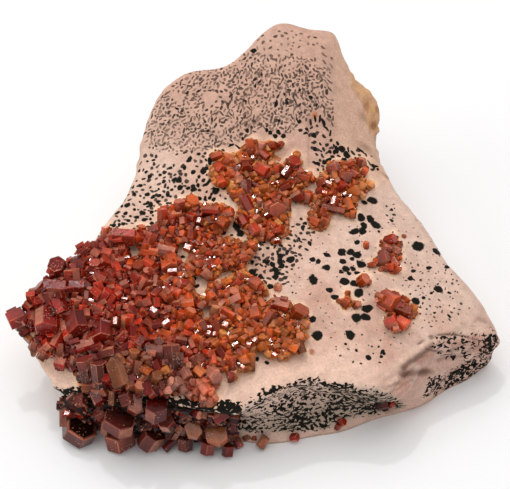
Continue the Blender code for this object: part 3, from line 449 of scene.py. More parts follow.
# Small stained places as pixel x, pixel y, radius in pixels and colour
STAINS = (
    (314, 115, 3.4, (186,110,66)), (311, 352, 2.6, (176,92,60)), (385, 407, 6.0, (112,44,48)),
    (379, 408, 4.5, (96,34,34)), (372, 110, 5.0, (212,166,116)), (362, 90, 4.0, (206,160,120)),
    (374, 126, 4.0, (166,112,74)), (414, 340, 8.0, (214,176,160)), (338, 420, 3.0, (150,70,50)),
    (24, 344, 10.0, (176,146,110)), (228, 204, 8.0, (232,212,192)),
)

# Screen colours of the crystals' painted rim highlights, the painted sheen of pale faces and the painted
# sparkle of specks, and of the crust under the ledge
RIM_HIGHLIGHT, SHEEN_TINT, SPARKLE_HIGHLIGHT = (218, 140, 106), (222, 140, 110), (250, 206, 176)
LEDGE_BLACK, LEDGE_CRUST, LEDGE_GREY = (22, 20, 16), (34, 10, 9), (150, 128, 112)
# Strength of a crystal's colour: least, spread, that of amber ones and how lit these stay below
STRENGTH, STRENGTH_SPREAD, AMBER_STRENGTH, AMBER_LIT = 0.5, 0.8, 1.15, 0.6
AMBER_START, AMBER_FULL, AMBER_END = 3.6, 4.8, 5.7
# Painted light and shade of each side, and painted sheen on sides and ends, where below zero is none
SIDE_SHADES, SIDE_SHEEN, END_SHEEN = (0.66, 1.24), (-1.9, 0.85), (-1.3, 0.8)
# Share of the painted highlight laid on the rims, and the painted shade of the ends
RIM_HIGHLIGHT_SHARE, END_SHADE = 0.18, 0.95
# The crust's deep colour, a tone darker and dimmed as painted shade between the crystals, and the tone and
# strength of its paler edge
CRUST_DARKER, CRUST_SHADE, CRUST_EDGE_TONE, CRUST_EDGE_LIGHT = 1.0, 0.3, 5.3, 1.15

# Crystals: sides, cut of the corners, spread of the sides' distances, shade at the foot and where
# buried, the rise in widths over which that fades, and height over the floor
SIDES, CHAMFER, UNEVEN = 6, 0.05, (0.80, 1.16)
BASE_SHADE, BURIED_SHADE, BURIED_RISE, FLOOR_GAP = 0.62, 0.25, (-0.5, 0.3), 0.1
# Ends of a crystal as share of its radius, distance below the end in widths, and how light it is, which is
# painted shade that darkens a hollow's recess and a dark end
PLAIN_END = ((1.0, 0.035, 1.0), (0.93, 0.0, 1.0))
HOLLOW_END = ((1.0, 0.04, 1.0), (0.94, 0.0, 1.1), (0.86, 0.0, 0.7), (0.74, 0.09, 0.12))
DARK_END = ((1.0, 0.035, 1.0), (0.93, 0.0, 0.5))
SHARP_END = ((1.0, 0.0, 1.0),)

# Small crystals: least distance from the stone's edge, share of mirroring ones and their greatest width
RIM_MARGIN, MIRROR_CHANCE, MIRROR_WIDTH = 0.3, 0.1, 5.0
# Low front left in pixel rows and columns, share and tones of its rosy crystals, and the others' drop
LOW_ROWS, LEFT_COLUMNS = (335, 358), (180, 215)
ROSY_SHARE, ROSY_TONES, LOW_LEFT_DARKER = 0.6, (7.7, 8.9), 1.7
# Spreads of widths, lengths, tilts and tones; width at a group's edge, its gain inwards, and depths
# over which the edge frays and ends
SMALL_WIDTHS, SMALL_LENGTHS, SMALL_TILTS, SMALL_TONES = (0.62, 1.3), (0.65, 1.2), (-8, 8, 66), 0.38
EDGE_WIDTH, EDGE_GAIN, EDGE_FRAY, EDGE_DEPTH = 2.6, 1.5, (0.4, 3.0), 9
# How much paler bare and edge crystals are, and the palest tone; columns where that starts and where
# the edge's part falls, and what is left of it
BARE_PALER, EDGE_PALER, PALEST = 2.0, 1.0, 5.3
PALER_START, PALER_LESS, PALER_KEPT = (70, 210), (365, 380), 0.3
# Widths from which a growth keeps clear of placed crystals and from which these bear offshoots
CLEAR_WIDTH, PARENT_WIDTH = 5, 14
# Offshoots as seed, number for each, shares of width, scatter and end; their lengths and places
OFFSHOOTS = ((130, 3, (0.34, 0.68), 0.12, PLAIN_END), (150, 7, (0.14, 0.3), 0.8, SHARP_END))
SHOOT_LENGTHS, SHOOT_AWAY, SHOOT_LOW, SHOOT_HIGH = (0.4, 0.8), (0.25, 0.5), -0.6, 0.15
PLACED_SEED, GLINT_SEED, SHAPE_SEED = 100, 120, 10
# Tones along pixel x or, under the ledge, along the angle
MAIN_TONES = ((0, 0.8), (60, 1.0), (120, 1.6), (200, 2.5), (260, 3.3), (310, 3.7))
OTHER_TONES = ((200, 3.2), (300, 3.0), (370, 2.9), (390, 2.4))
# Under the ledge the tones fall towards near black, partly the crystals' own maroon and partly painted shade
# under the overhang
LEDGE_TONES = ((214, -0.5), (240, -0.9), (262, -0.4), (277, 0.2))
# Shares of the width by which crystals stand off their surface
PLACED_LIFT, GLINT_LIFT, LEDGE_LIFT, WALL_LIFT = 0.28, 0.45, 0.6, 0.5

# Noises by name, in layers of strength, size in millimetres, seed and any squeeze of x, y and z
NOISES = {
    "top grain": ((0.13, 2.6, 41), (0.07, 1.1, 42)),
    "wall grain": ((0.42, 3.4, 43, 1, 1, 1.8), (0.24, 1.3, 44)), "wall ridges": ((0.9, 8.0, 50, 1, 1, 1.4),),
    "tip ridges": ((0.9, 2.4, 45, 0.45, 1, 1),), "tip grain": ((0.3, 1.0, 46),),
    "fold waver": ((1.2, 2.0, 47),), "tan lumps": ((1.0, 2.4, 48),), "left edge": ((0.5, 1.7, 49),),
    "cream": ((0.7, 6.0, 51), (0.3, 1.8, 52)), "facet streaks": ((1, 2.0, 53, 0.35, 1.6, 0.35),),
    "tan pits": ((1, 1.6, 54),), "pale tip": ((1, 2.2, 55, 0.5, 1, 1),), "stain waver": ((2, 1.2, 56),),
    "hidden tan": ((1, 11.0, 57),), "hidden grey": ((1, 7.0, 58),), "crease waver": ((1.4, 0.9, 59),),
    "clumps": ((0.26, 3.0, 61), (0.12, 1.2, 62)),
    "hidden spots": ((1, 9.0, 63),), "hidden specks": ((0.5, 3.2, 64),),
    "crust lumps": ((0.30, 1.1, 71), (0.22, 0.55, 72)), "ledge lumps": ((0.3, 1.6, 73),),
    "crust edge": ((5, 1.0, 74),), "ledge stain": ((1, 1.4, 75),), "ledge grey": ((1, 0.45, 76),),
}
# Paints of the stone's parts: colour and how much is laid on; the hollow's is painted light that lifts its
# shade, and the halo's is partly painted light
PAINTS = {
    "facet": ((214, 174, 150), 0.8), "facet foot": ((224, 184, 160), 0.8),
    "facet streaks": ((178, 140, 116), 1.0), "tan lumps": ((214, 166, 126), 0.95),
    "tan pits": ((158, 106, 68), 0.7), "tip": ((196, 150, 134), 0.85), "pale tip": ((216, 184, 170), 1.0),
    "front": ((208, 174, 158), 0.75), "hollow": ((216, 188, 172), 0.8),
    "hollow foot": ((146, 131, 113), 0.65), "hidden tan": ((196, 158, 128), 0.7),
    "hidden grey": ((190, 170, 158), 0.6), "left wall": ((176, 146, 116), 1.0),
    "halo": ((250, 212, 180), 0.7),
}
# How much of a stain's colour is laid on, and of the painted shade and highlight of the tip's creases
STAIN_SHARE, CREASE_SHARE = 0.85, 0.8
# Soft regions of the ground: colour, share, and edges along x and y, where 80 and 90 mean none
GROUND_REGIONS = (
    ((216, 186, 170), 0.6, (14, 30, 80, 90), (-26, -14, 10, 20)),
    # lighter low front lip: painted light where the lip slopes away from the lights
    ((240, 202, 180), 0.8, (-90, -80, 14, 26), (-90, -80, -34, -24)),
    # darker back of the top: partly its darker ground and partly painted shade
    ((200, 160, 141), 0.75, (-90, -80, 80, 90), (10, 18, 80, 90)),
    ((220, 190, 172), 0.6, (-90, -80, -26, -14), (-12, -6, 80, 90)),
)
# Angles between which parts of the edge and wall lie
LEFT_EDGE, LEFT_WALL, FRONT_WALL = (196, 200, 214, 218), (196, 200, 206, 210), (258, 264, 345, 352)
# Edges of the facet, and of the small step beside its crease, along x and y
FACET_X, FACET_Y, FACET_FOOT, STREAKS_X = (15.3, 17.0), (9, 13), (12, 22), (18, 23)
STEP_X, STEP_Y, STEP_DEPTH = (10.2, 10.9, 13, 22), (7.5, 9.5, 17.5, 19), 0.55
# Crests of the ridges; slant and rows of the hollow's dark foot; depths in pixels of the halo, a pale crust
# that is partly painted light
WALL_CREST, TIP_CREST = 0.36, 0.27
HOLLOW_SLANT, HOLLOW_FOOT, HALO = 0.28, (392, 420), (-7, -1)
# Cosines to the viewer between which a surface is seen, a patch shows and a wall is hidden
SEEN, PATCH_SEEN, HIDDEN = (0.0, 0.2), (-0.05, 0.15), (-0.1, 0.2)

# Cells of the noise before it repeats, and a turn that keeps hidden patches off its cells
LATTICE = 32
TURNED = np.array(((0.80, 0.36, 0.48), (-0.60, 0.48, 0.64), (0.0, -0.80, 0.60)))
# Growth of the read spots, their rim in shares of their size, and how it wanders as size, reach, seed
SPOT_GROWTH, SPOT_RIM = 1.15, (0.85, 1.12)
SPOT_WANDER = ((1.5, 0.24, 81), (0.5, 0.13, 83))
SPECKLE_GAIN, SPECKLE_RIM = 0.29, (0.655, 0.70)
# A place far from every spot, and the side and margin of the tiles in which spots are sought
NO_SPOT, TILE, TILE_MARGIN = (9.0, 9.0, 0.0), 3.0, 2.5
# First height, passes and pace with which a place is sought along a ray
RAY_START, RAY_PASSES, RAY_PACE = 20.0, 30, 0.6
# Shares of the edge radius where the top starts to round and of the first and last rings, and the
# rings before and after the edge that are smoothed, by how much and how often
ROUND_START, FIRST_RING, LAST_RING = 0.94, 0.012, 0.15
SMOOTH_BEFORE, SMOOTH_AFTER, SMOOTH_SHARE, SMOOTH_PASSES = 6, 5, 0.6, 5


def group(name, centre, reach, thickness, outline, gaps, placed, glints, growths):
    """One crystal group: middle and reach of its crust at equal angles, outline in pixels, crystals."""
    return {"name": name, "centre": centre, "reach": reach, "thickness": thickness, "outline": outline,
            "gaps": gaps, "crystals": placed, "glints": glints, "growths": growths}


# A growth is a seed, tries, widths in pixels at the group's left and right, how close two may stand
# in shares of their widths, and how far they stand off the crust in shares of their width
MAIN_REACH = (28.5, 21.0, 19.5, 20.5, 27.0, 27.0, 25.5, 21.0, 21.5, 22.5, 24.5, 27.0,
              30.0, 27.5, 24.0, 21.5, 21.5, 22.0, 22.0, 22.0, 23.0, 21.0, 23.0, 29.5)
MAIN_DRUSE = group("main_druse", (-17.0, -22.0), MAIN_REACH, 1.8, MAIN_OUTLINE, MAIN_GAPS, MAIN_CRYSTALS,
                   MAIN_GLINTS, ((31, 9000, (12.0, 6.4), 0.33, (0.0, 0.4)),
                                (32, 16000, (5.0, 3.6), 0.34, (-0.1, 0.4))))
UPPER_LEFT = group("upper_left", (0.5, 4.5),
                   (12.5, 10.5, 9.5, 11.5, 10.5, 10.0, 12.0, 11.0, 8.0, 6.0, 6.5, 7.0, 11.0, 12.5, 10.0, 9.5),
                   1.1, UPPER_OUTLINE, UPPER_GAPS, UPPER_CRYSTALS, UPPER_GLINTS,
                   ((41, 2500, (8.0, 7.0), 0.34, (0.0, 0.4)), (42, 5000, (4.4, 4.0), 0.34, (-0.1, 0.3))))
UPPER_RIGHT = group("upper_right", (16.0, 4.5),
                    (6.5, 8.5, 9.5, 8.0, 7.5, 5.5, 6.0, 7.5, 8.0, 7.5, 9.5, 10.5, 6.0, 7.0, 6.5, 6.0),
                    0.9, RIGHT_OUTLINE, (), RIGHT_CRYSTALS, RIGHT_GLINTS,
                    ((43, 1800, (7.0, 6.5), 0.34, (0.0, 0.4)), (44, 3500, (4.2, 3.8), 0.34, (-0.1, 0.3))))
EAST = group("east_cluster", (26.5, -9.0), (3.0, 3.5, 5.0, 6.0, 3.5, 2.5, 2.5, 3.0, 6.0, 5.5, 4.0, 3.0),
             0.7, EAST_OUTLINE, (), EAST_CRYSTALS, (),
             ((45, 900, (5.6, 5.2), 0.36, (0.0, 0.4)), (55, 900, (3.6, 3.6), 0.34, (-0.1, 0.3))))
SOUTHEAST = group("southeast_cluster", (27.5, -22.0),
                  (4.0, 4.5, 4.0, 5.0, 5.5, 4.5, 3.5, 4.5, 5.0, 4.5, 4.0, 3.0),
                  0.8, SOUTHEAST_OUTLINE, (), SOUTHEAST_CRYSTALS, SOUTHEAST_GLINTS,
                  ((46, 900, (6.5, 5.5), 0.36, (0.0, 0.4)), (56, 900, (4.0, 4.0), 0.34, (-0.1, 0.3))))
MIDDLE = group("middle_crystal", (20.8, -14.8), (2.0,) * 8, 0.4, MIDDLE_OUTLINE, (), MIDDLE_CRYSTALS, (),
               ((47, 90, (5.0, 5.0), 0.5, (0.0, 0.2)),))
SOUTH = group("south_crystals", (17.6, -19.7), (3.0, 2.2, 2.4, 2.4, 2.6, 2.2, 2.4, 2.2), 0.3,
              SOUTH_OUTLINE, (), SOUTH_CRYSTALS, (), ((48, 120, (4.0, 4.0), 0.4, (0.0, 0.2)),))
GROUPS = (MAIN_DRUSE, UPPER_LEFT, UPPER_RIGHT, EAST, SOUTHEAST, MIDDLE, SOUTH)


def screen(red, green, blue):
    """A colour as the screen shows it, from 0 to 255, made linear."""
    share = np.array([red, green, blue]) / 255
    return tuple(np.where(share > 0.04045, ((share + 0.055) / 1.055) ** 2.4, share / 12.92).tolist())


def eased(value, low, high):
    """A step from 0 at low to 1 at high with soft ends."""
    share = np.clip((value - low) / (high - low), 0, 1)
    return share * share * (3 - 2 * share)


def lattice_noise(points, size, seed):
    """Smooth noise from -1 to 1: random values at the corners of cells, eased between them."""
    values = np.random.default_rng(seed).uniform(-1, 1, (LATTICE,) * 3)
    cell = points / size
    low = np.floor(cell).astype(int)
    part = cell - low
    part = part * part * (3 - 2 * part)
    total = np.zeros(points.shape[:-1])
    for corner in np.ndindex(2, 2, 2):
        share = np.prod(np.where(np.array(corner) == 1, part, 1 - part), axis=-1)
        at = (low + corner) % LATTICE
        total += share * values[at[..., 0], at[..., 1], at[..., 2]]
    return total


def between(value, start, full, fading, end):
    """From 0 at start to 1 at full, and from 1 at fading back to 0 at end, with soft ends."""
    return eased(value, start, full) * (1 - eased(value, fading, end))


def noise(points, name):
    """The named noise at points: the sum of its layers."""
    return sum(strength * lattice_noise(points * np.array(squeeze or 1), size, seed)
               for strength, size, seed, *squeeze in NOISES[name])


def along_run(run, at):
    """Value at a place, between the places and values of a run."""
    return np.interp(at, *np.transpose(run))


def painted(colour, target, share):
    """Colours moved by a share of the way to a target colour."""
    return colour + share[..., None] * (np.array(target) - colour)


def unit(vectors):
    """Vectors made one long."""
    return vectors / np.linalg.norm(vectors, axis=-1, keepdims=True)


def periodic(angles, values, at):
    """A smooth closed curve of values over angle in degrees, through each station."""
    angles = np.array(angles, float)
    values = np.array(values, float)
    angles = np.concatenate([angles - 360, angles, angles + 360])
    values = np.tile(values, 3)
    at = np.mod(at, 360)
    i = np.searchsorted(angles, at, side="right") - 1
    start_slope = (values[i + 1] - values[i - 1]) / (angles[i + 1] - angles[i - 1])
    end_slope = (values[i + 2] - values[i]) / (angles[i + 2] - angles[i])
    span = angles[i + 1] - angles[i]
    t = (at - angles[i]) / span
    ends = (2 * t**3 - 3 * t**2 + 1) * values[i] + (3 * t**2 - 2 * t**3) * values[i + 1]
    return ends + (t**3 - 2 * t**2 + t) * span * start_slope + (t**3 - t**2) * span * end_slope


def plate_kernel(squared):
    """The bending-plate kernel of a squared distance."""
    return 0.5 * squared * np.log(np.maximum(squared, 1e-9))


def fit_plate(spots):
    """Weights of the thin plate that bends through the spot heights."""
    count = len(spots)
    offsets = spots[:, None, :2] - spots[None, :, :2]
    system = np.zeros((count + 3, count + 3))
    system[:count, :count] = plate_kernel((offsets**2).sum(-1)) + SMOOTHING * np.eye(count)
    system[:count, count] = system[count, :count] = 1
    system[:count, count + 1:] = spots[:, :2]
    system[count + 1:, :count] = spots[:, :2].T
    return np.linalg.solve(system, np.concatenate([spots[:, 2], np.zeros(3)]))


SPOTS = np.array(EDGE_HEIGHTS + INNER_HEIGHTS, float)
PLATE = fit_plate(SPOTS)


def gentle_swell(x, y):
    """Low uneven waves of the stone's faces."""
    broad = SWELL_HEIGHT * np.sin(x / 4.3 + 0.9) * np.cos(y / 5.1 + 0.4)
    return broad + 0.6 * SWELL_HEIGHT * np.sin((x + 1.4 * y) / 3.9 + 2.0)


def top_height(x, y):
    """Height of the stone's top: a bent plate, and the right facet where that is lower."""
    x = np.asarray(x, float)
    y = np.asarray(y, float)
    plate = PLATE[-3] + PLATE[-2] * x + PLATE[-1] * y
    for (spot_x, spot_y, _), weight in zip(SPOTS, PLATE):
        plate = plate + weight * plate_kernel((x - spot_x) ** 2 + (y - spot_y) ** 2)
    run = np.subtract(CREASE_FRONT, CREASE_BACK)
    run = run / np.hypot(*run)
    off = (y - CREASE_BACK[1]) * run[0] - (x - CREASE_BACK[0]) * run[1]
    along = (x - CREASE_BACK[0]) * run[0] + (y - CREASE_BACK[1]) * run[1]
    facet = CREST_HEIGHT - CREST_FALL * np.clip(along, *CREST_RUN) - FACET_SLOPE * off
    facet = facet + FACET_AWAY * (1 - np.clip((y - FACET_START_Y) / FACET_FADE, 0, 1))
    mix = np.clip(0.5 + 0.5 * (facet - plate) / CREASE_WIDTH, 0, 1)
    joined = facet * (1 - mix) + plate * mix - CREASE_WIDTH * mix * (1 - mix)
    return joined + gentle_swell(x, y)


def edge_drop(share):
    """Drop of the top near its edge, at a share of the edge's radius."""
    return EDGE_DROP * np.clip((share - ROUND_START) / (1 - ROUND_START), 0, 1.5) ** 2


def stone_top(x, y):
    """Height of the stone's top with the drop at its edge, and how far inside the edge a place lies."""
    from_x, from_y = x - CENTRE_X, y - CENTRE_Y
    radius = np.hypot(from_x, from_y)
    edge = outline(np.degrees(np.arctan2(from_y, from_x)))[0]
    return top_height(x, y) - edge_drop(radius / edge), edge - radius


def outline(degrees):
    """Radius of the top edge, radius of the foot and depth of the hollow at each angle."""
    angles = [row[0] for row in STATIONS]
    return [periodic(angles, [row[k] for row in STATIONS], degrees) for k in (1, 2, 3)]


def around(degrees, radius):
    """Plan position at an angle and a radius from the stone's centre."""
    turn = np.radians(degrees)
    return CENTRE_X + radius * np.cos(turn), CENTRE_Y + radius * np.sin(turn)


def wall_point(degrees, down):
    """Radius and height of the wall at an angle, a fraction of the way down."""
    edge, foot, hollow = outline(degrees)
    radius = edge + (foot - edge) * down - hollow * np.sin(np.pi * down)
    for angle, place, width, height in WALL_LUMPS:
        apart = ((degrees - angle) / width) ** 2 + ((down - place) / LUMP_DEPTH) ** 2
        radius = radius + height * np.exp(-apart)
    crest = top_height(*around(degrees, edge)) - EDGE_DROP
    height = crest * (1 - down)
    wave = sum(np.sin(np.radians(degrees * turns) + height / pitch) for turns, pitch in WALL_WAVES)
    return radius + WALL_SWELL * wave * np.sin(np.pi * down), height


def view_axes():
    """The photograph's camera: its place, right, up and backward directions, in sketch lengths."""
    tilt = np.radians(VIEW_ELEVATION)
    back = np.array([0.0, -np.cos(tilt), np.sin(tilt)])
    right = np.array([1.0, 0.0, 0.0])
    return np.array(VIEW_TARGET) + back * VIEW_DISTANCE, right, np.cross(back, right), back


def view_rays(pixels):
    """The camera's place, and the directions through pixels, which reach one unit before it."""
    eye, right, up, back = view_axes()
    focal = VIEW_LENS / SENSOR_WIDTH * PHOTO_WIDTH
    across = (pixels[..., 0:1] - PHOTO_WIDTH / 2) / focal
    above = (PHOTO_HEIGHT / 2 - pixels[..., 1:2]) / focal
    return eye, across * right + above * up - back


def project(points):
    """Pixels of the photograph at which points show."""
    eye, right, up, back = view_axes()
    offset = points - eye
    depth = -(offset @ back)
    focal = VIEW_LENS / SENSOR_WIDTH * PHOTO_WIDTH
    return np.stack([PHOTO_WIDTH / 2 + focal * (offset @ right) / depth,
                     PHOTO_HEIGHT / 2 - focal * (offset @ up) / depth], -1)


def on_stone(pixels, lift=0.0):
    """Where the stone's top, or what lies a lift above it, shows at pixels of the photograph.

    The ray through a pixel is met with a level plane, whose height then moves towards the
    stone's height at that place, until the two agree.
    """
    eye, ray = view_rays(pixels)
    height = np.full(pixels.shape[:-1], RAY_START)
    for _ in range(RAY_PASSES):
        place = eye + ray * ((height - eye[2]) / ray[..., 2])[..., None]
        height = height + RAY_PACE * (stone_top(place[..., 0], place[..., 1])[0] + lift - height)
    return np.stack([place[..., 0], place[..., 1], height], -1)


def inside(polygon, x, y):
    """Whether points lie in a polygon: a ray from each crosses its sides an odd number of times."""
    odd = np.zeros(x.shape, bool)
    for (ax, ay), (bx, by) in zip(polygon, polygon[1:] + polygon[:1]):
        crosses = (ay > y) != (by > y)
        odd ^= crosses & (x < ax + (y - ay) * (bx - ax) / (by - ay + 1e-12))
    return odd


def spread(candidates, gaps, kept):
    """Indices of the candidates that stand clear of the places kept so far and of each other.

    Two places stand clear when they are further apart than the mean of their gaps.
    """
    places = np.zeros((len(kept) + len(candidates), 3))
    if len(kept):
        places[:len(kept)] = kept
    count, chosen = len(kept), []
    for index, (place, gap) in enumerate(zip(candidates, gaps)):
        near = places[:count]
        apart = np.hypot(near[:, 0] - place[0], near[:, 1] - place[1])
        if count == 0 or np.all(apart > (near[:, 2] + gap) / 2):
            places[count] = (*place, gap)
            chosen.append(index)
            count += 1
    return np.array(chosen, int)


def field_spots(seed, gap, lengths, widths, tones, bareness, polygon):
    """Scattered strokes of one field, as pixel x, y, half length, half width, turn and tone.

    Strokes are left out where a slow noise lies below the field's bareness.
    """
    rng = np.random.default_rng(seed)
    corners = np.array(polygon, float)
    low, high = corners.min(0), corners.max(0)
    tries = int(FIELD_TRIES * np.prod(high - low) / gap**2)
    places = rng.uniform(low, high, (tries, 2))
    level = lattice_noise(np.column_stack([places, np.zeros(tries)]), PATCHINESS, seed)
    places = places[inside(polygon, places[:, 0], places[:, 1]) & (level > bareness)]
    gaps = gap * rng.uniform(*FIELD_GAPS, len(places))
    places = places[spread(places, gaps, [])]
    count = len(places)
    half_length = rng.uniform(*lengths, count)
    half_width = np.minimum(rng.uniform(*widths, count), half_length)
    turn = rng.normal(*FIELD_TURNS, count)
    return np.column_stack([places, half_length, half_width, turn, rng.uniform(*tones, count)])


def spot_list():
    """Every spot on the stone's top: plan x, y, half length, half width, turn and tone."""
    rows = [np.array([(x, y, r, r, 0, 1) for x, y, r in ROUND_SPOTS], float)]
    rows.append(np.array([(x, y, a, b, turn, 1) for x, y, a, b, turn in LONG_SPOTS], float))
    rows += [field_spots(*field) for field in SPOT_FIELDS]
    spots = np.concatenate(rows)
    spots[:, :2] = on_stone(spots[:, :2])[:, :2]
    spots[:, 2:4] *= PIXEL * SPOT_GROWTH
    return spots


def nearest_spots(corners):
    """Places of every face's corners within the two spots that come nearest the face.

    A place is the plan offset from the spot's middle, turned to the spot's length and divided by
    its half sizes, so that the rim lies at length one; the third number is the spot's tone.
    """
    spots = spot_list()
    level = np.concatenate([corners, np.zeros((*corners.shape[:2], 1))], -1)
    for size, reach, seed in SPOT_WANDER:
        corners = corners + reach * np.stack([lattice_noise(level, size, seed + way) for way in (0, 1)], -1)
    middle = corners.mean(1)
    found = np.full((2, *corners.shape[:2], 3), NO_SPOT)
    cells = np.floor(middle / TILE).astype(int)
    for cell in np.unique(cells, axis=0):
        faces = np.flatnonzero(np.all(cells == cell, axis=1))
        apart = np.abs(spots[:, :2] - (cell + 0.5) * TILE).max(1)
        near = spots[apart < TILE / 2 + TILE_MARGIN]
        if len(near) == 0:
            continue
        turn = np.radians(near[:, 4])
        along = np.stack([np.cos(turn), np.sin(turn)], -1) / near[:, 2:3]
        beside = np.stack([-np.sin(turn), np.cos(turn)], -1) / near[:, 3:4]
        ways = np.stack([along, beside], 1)
        place = np.einsum("fsk,swk->fsw", middle[faces][:, None] - near[None, :, :2], ways)
        reach = (np.linalg.norm(place, axis=-1) - 1) * np.sqrt(near[:, 2] * near[:, 3])
        order = np.argsort(reach, axis=1)
        for rank in range(min(2, len(near))):
            pick = order[:, rank]
            offset = corners[faces] - near[pick][:, None, :2]
            found[rank, faces, :, :2] = np.einsum("fck,fwk->fcw", offset, ways[pick])
            found[rank, faces, :, 2] = near[pick][:, None, 5]
    return found


def grid_faces(rows, columns):
    """Quads between the rows of a grid that closes on itself, and the fans to its two poles."""
    row, column = np.mgrid[:rows - 1, :columns]
    following = (column + 1) % columns
    near, far = row * columns, (row + 1) * columns
    quads = np.stack([near + column, far + column, far + following, near + following], -1).reshape(-1, 4)
    start = np.arange(columns)
    after = (start + 1) % columns
    last = (rows - 1) * columns
    first_pole, last_pole = rows * columns, rows * columns + 1
    head = np.stack([np.full(columns, first_pole), start, after], -1)
    tail = np.stack([last + after, last + start, np.full(columns, last_pole)], -1)
    return quads, np.concatenate([head, tail])


def smoothed_rows(points, passes, weights):
    """Each point moved part of the way to the middle of its neighbours in the rows beside it."""
    for _ in range(passes):
        middle = (points[:-2] + points[2:]) / 2
        points[1:-1] += weights[1:-1, None, None] * (middle - points[1:-1])
    return points


def grid_normals(points):
    """Outward directions at the points of a closed grid, from the runs along and across it."""
    along = np.gradient(points, axis=0)
    across = np.roll(points, -1, axis=1) - np.roll(points, 1, axis=1)
    normal = np.cross(along, across)
    return normal / np.maximum(np.linalg.norm(normal, axis=-1, keepdims=True), 1e-9)


def shown(normals, cosines):
    """How far surfaces face the photograph's camera, from 0 to 1 between two cosines."""
    return eased(normals @ view_axes()[3], *cosines)


def stone_grid(columns, top_rows, wall_rows, base_rows):
    """The stone's surface as rings of points from the middle of the top to the base.

    A ring lies at a share of the edge radius on the top, of the way down on the wall and of the
    foot radius on the base. Also the angle of each column, and each point's way along the
    profile in millimetres, below zero on the top.
    """
    degrees = np.arange(columns) * 360 / columns
    edge, foot, _ = outline(degrees)
    rows, profile = [], []
    for share in np.linspace(FIRST_RING, 1.0, top_rows):
        x, y = around(degrees, edge * share)
        rows.append(np.stack([x, y, top_height(x, y) - edge_drop(share)], -1))
        profile.append(edge * (share - 1))
    crest = rows[-1][:, 2]
    for down in np.linspace(0, 1, wall_rows + 1)[1:]:
        radius, height = wall_point(degrees, down)
        rows.append(np.stack([*around(degrees, radius), height], -1))
        profile.append(crest * down)
    for share in np.linspace(1, LAST_RING, base_rows + 1)[1:]:
        rows.append(np.stack([*around(degrees, foot * share), 0 * degrees], -1))
        profile.append(crest + foot * (1 - share))
    points = np.array(rows)
    weights = np.zeros(len(points))
    weights[top_rows - SMOOTH_BEFORE:top_rows + SMOOTH_AFTER] = SMOOTH_SHARE
    return smoothed_rows(points, SMOOTH_PASSES, weights), degrees, np.array(profile)


def picture_patch(points, normals, polygon, soft):
    """How far points lie in a region of the picture, from 0 to 1, on faces turned to the viewer."""
    depth = edge_distance(polygon, *np.moveaxis(project(points), -1, 0))
    return shown(normals, PATCH_SEEN) * eased(depth, -soft, soft)


def line_distance(line, x, y):
    """Distance of points from a line of straight runs."""
    nearest = np.full(x.shape, np.inf)
    for (ax, ay), (bx, by) in zip(line, line[1:]):
        run_x, run_y = bx - ax, by - ay
        share = np.clip(((x - ax) * run_x + (y - ay) * run_y) / (run_x**2 + run_y**2), 0, 1)
        nearest = np.minimum(nearest, np.hypot(x - ax - share * run_x, y - ay - share * run_y))
    return nearest


def stone_relief(points, normals, degrees, profile):
    """How far the stone's surface stands out from its plain form at each point.

    Grain on the top gives way to rough noise and ridges on the wall. The tip, the tan lumps and
    the left edge have noise of their own. A fold or crease is a bell-shaped ridge or groove along
    its run, and the top steps down beside the facet's crease.
    """
    x, y, z = np.moveaxis(points, -1, 0)
    wall = eased(profile, -1.0, 2.0)
    rough = noise(points, "wall grain") + WALL_CREST - np.abs(noise(points, "wall ridges"))
    relief = noise(points, "top grain") * (1 - wall) + rough * wall
    tip = picture_patch(points, normals, TIP_ROCK, 3.0)
    relief += tip * (TIP_CREST - np.abs(noise(points, "tip ridges")) + noise(points, "tip grain"))
    waver = noise(points, "fold waver")
    creases = [(line, width, height) for line, width, _, height in TIP_CREASES]
    for line, width, height in (*TIP_FOLDS, *creases):
        apart = line_distance(line, *np.moveaxis(project(points), -1, 0)) + waver
        relief += shown(normals, SEEN) * height * np.exp(-((apart / width) ** 2))
    relief += picture_patch(points, normals, TAN_LUMPS, 3.0) * noise(points, "tan lumps")
    relief += between(degrees, *LEFT_EDGE) * eased(profile, -2.5, 0) * noise(points, "left edge")
    relief -= STEP_DEPTH * between(x, *STEP_X) * between(y, *STEP_Y)
    return relief * eased(z, 0.0, 2.0)


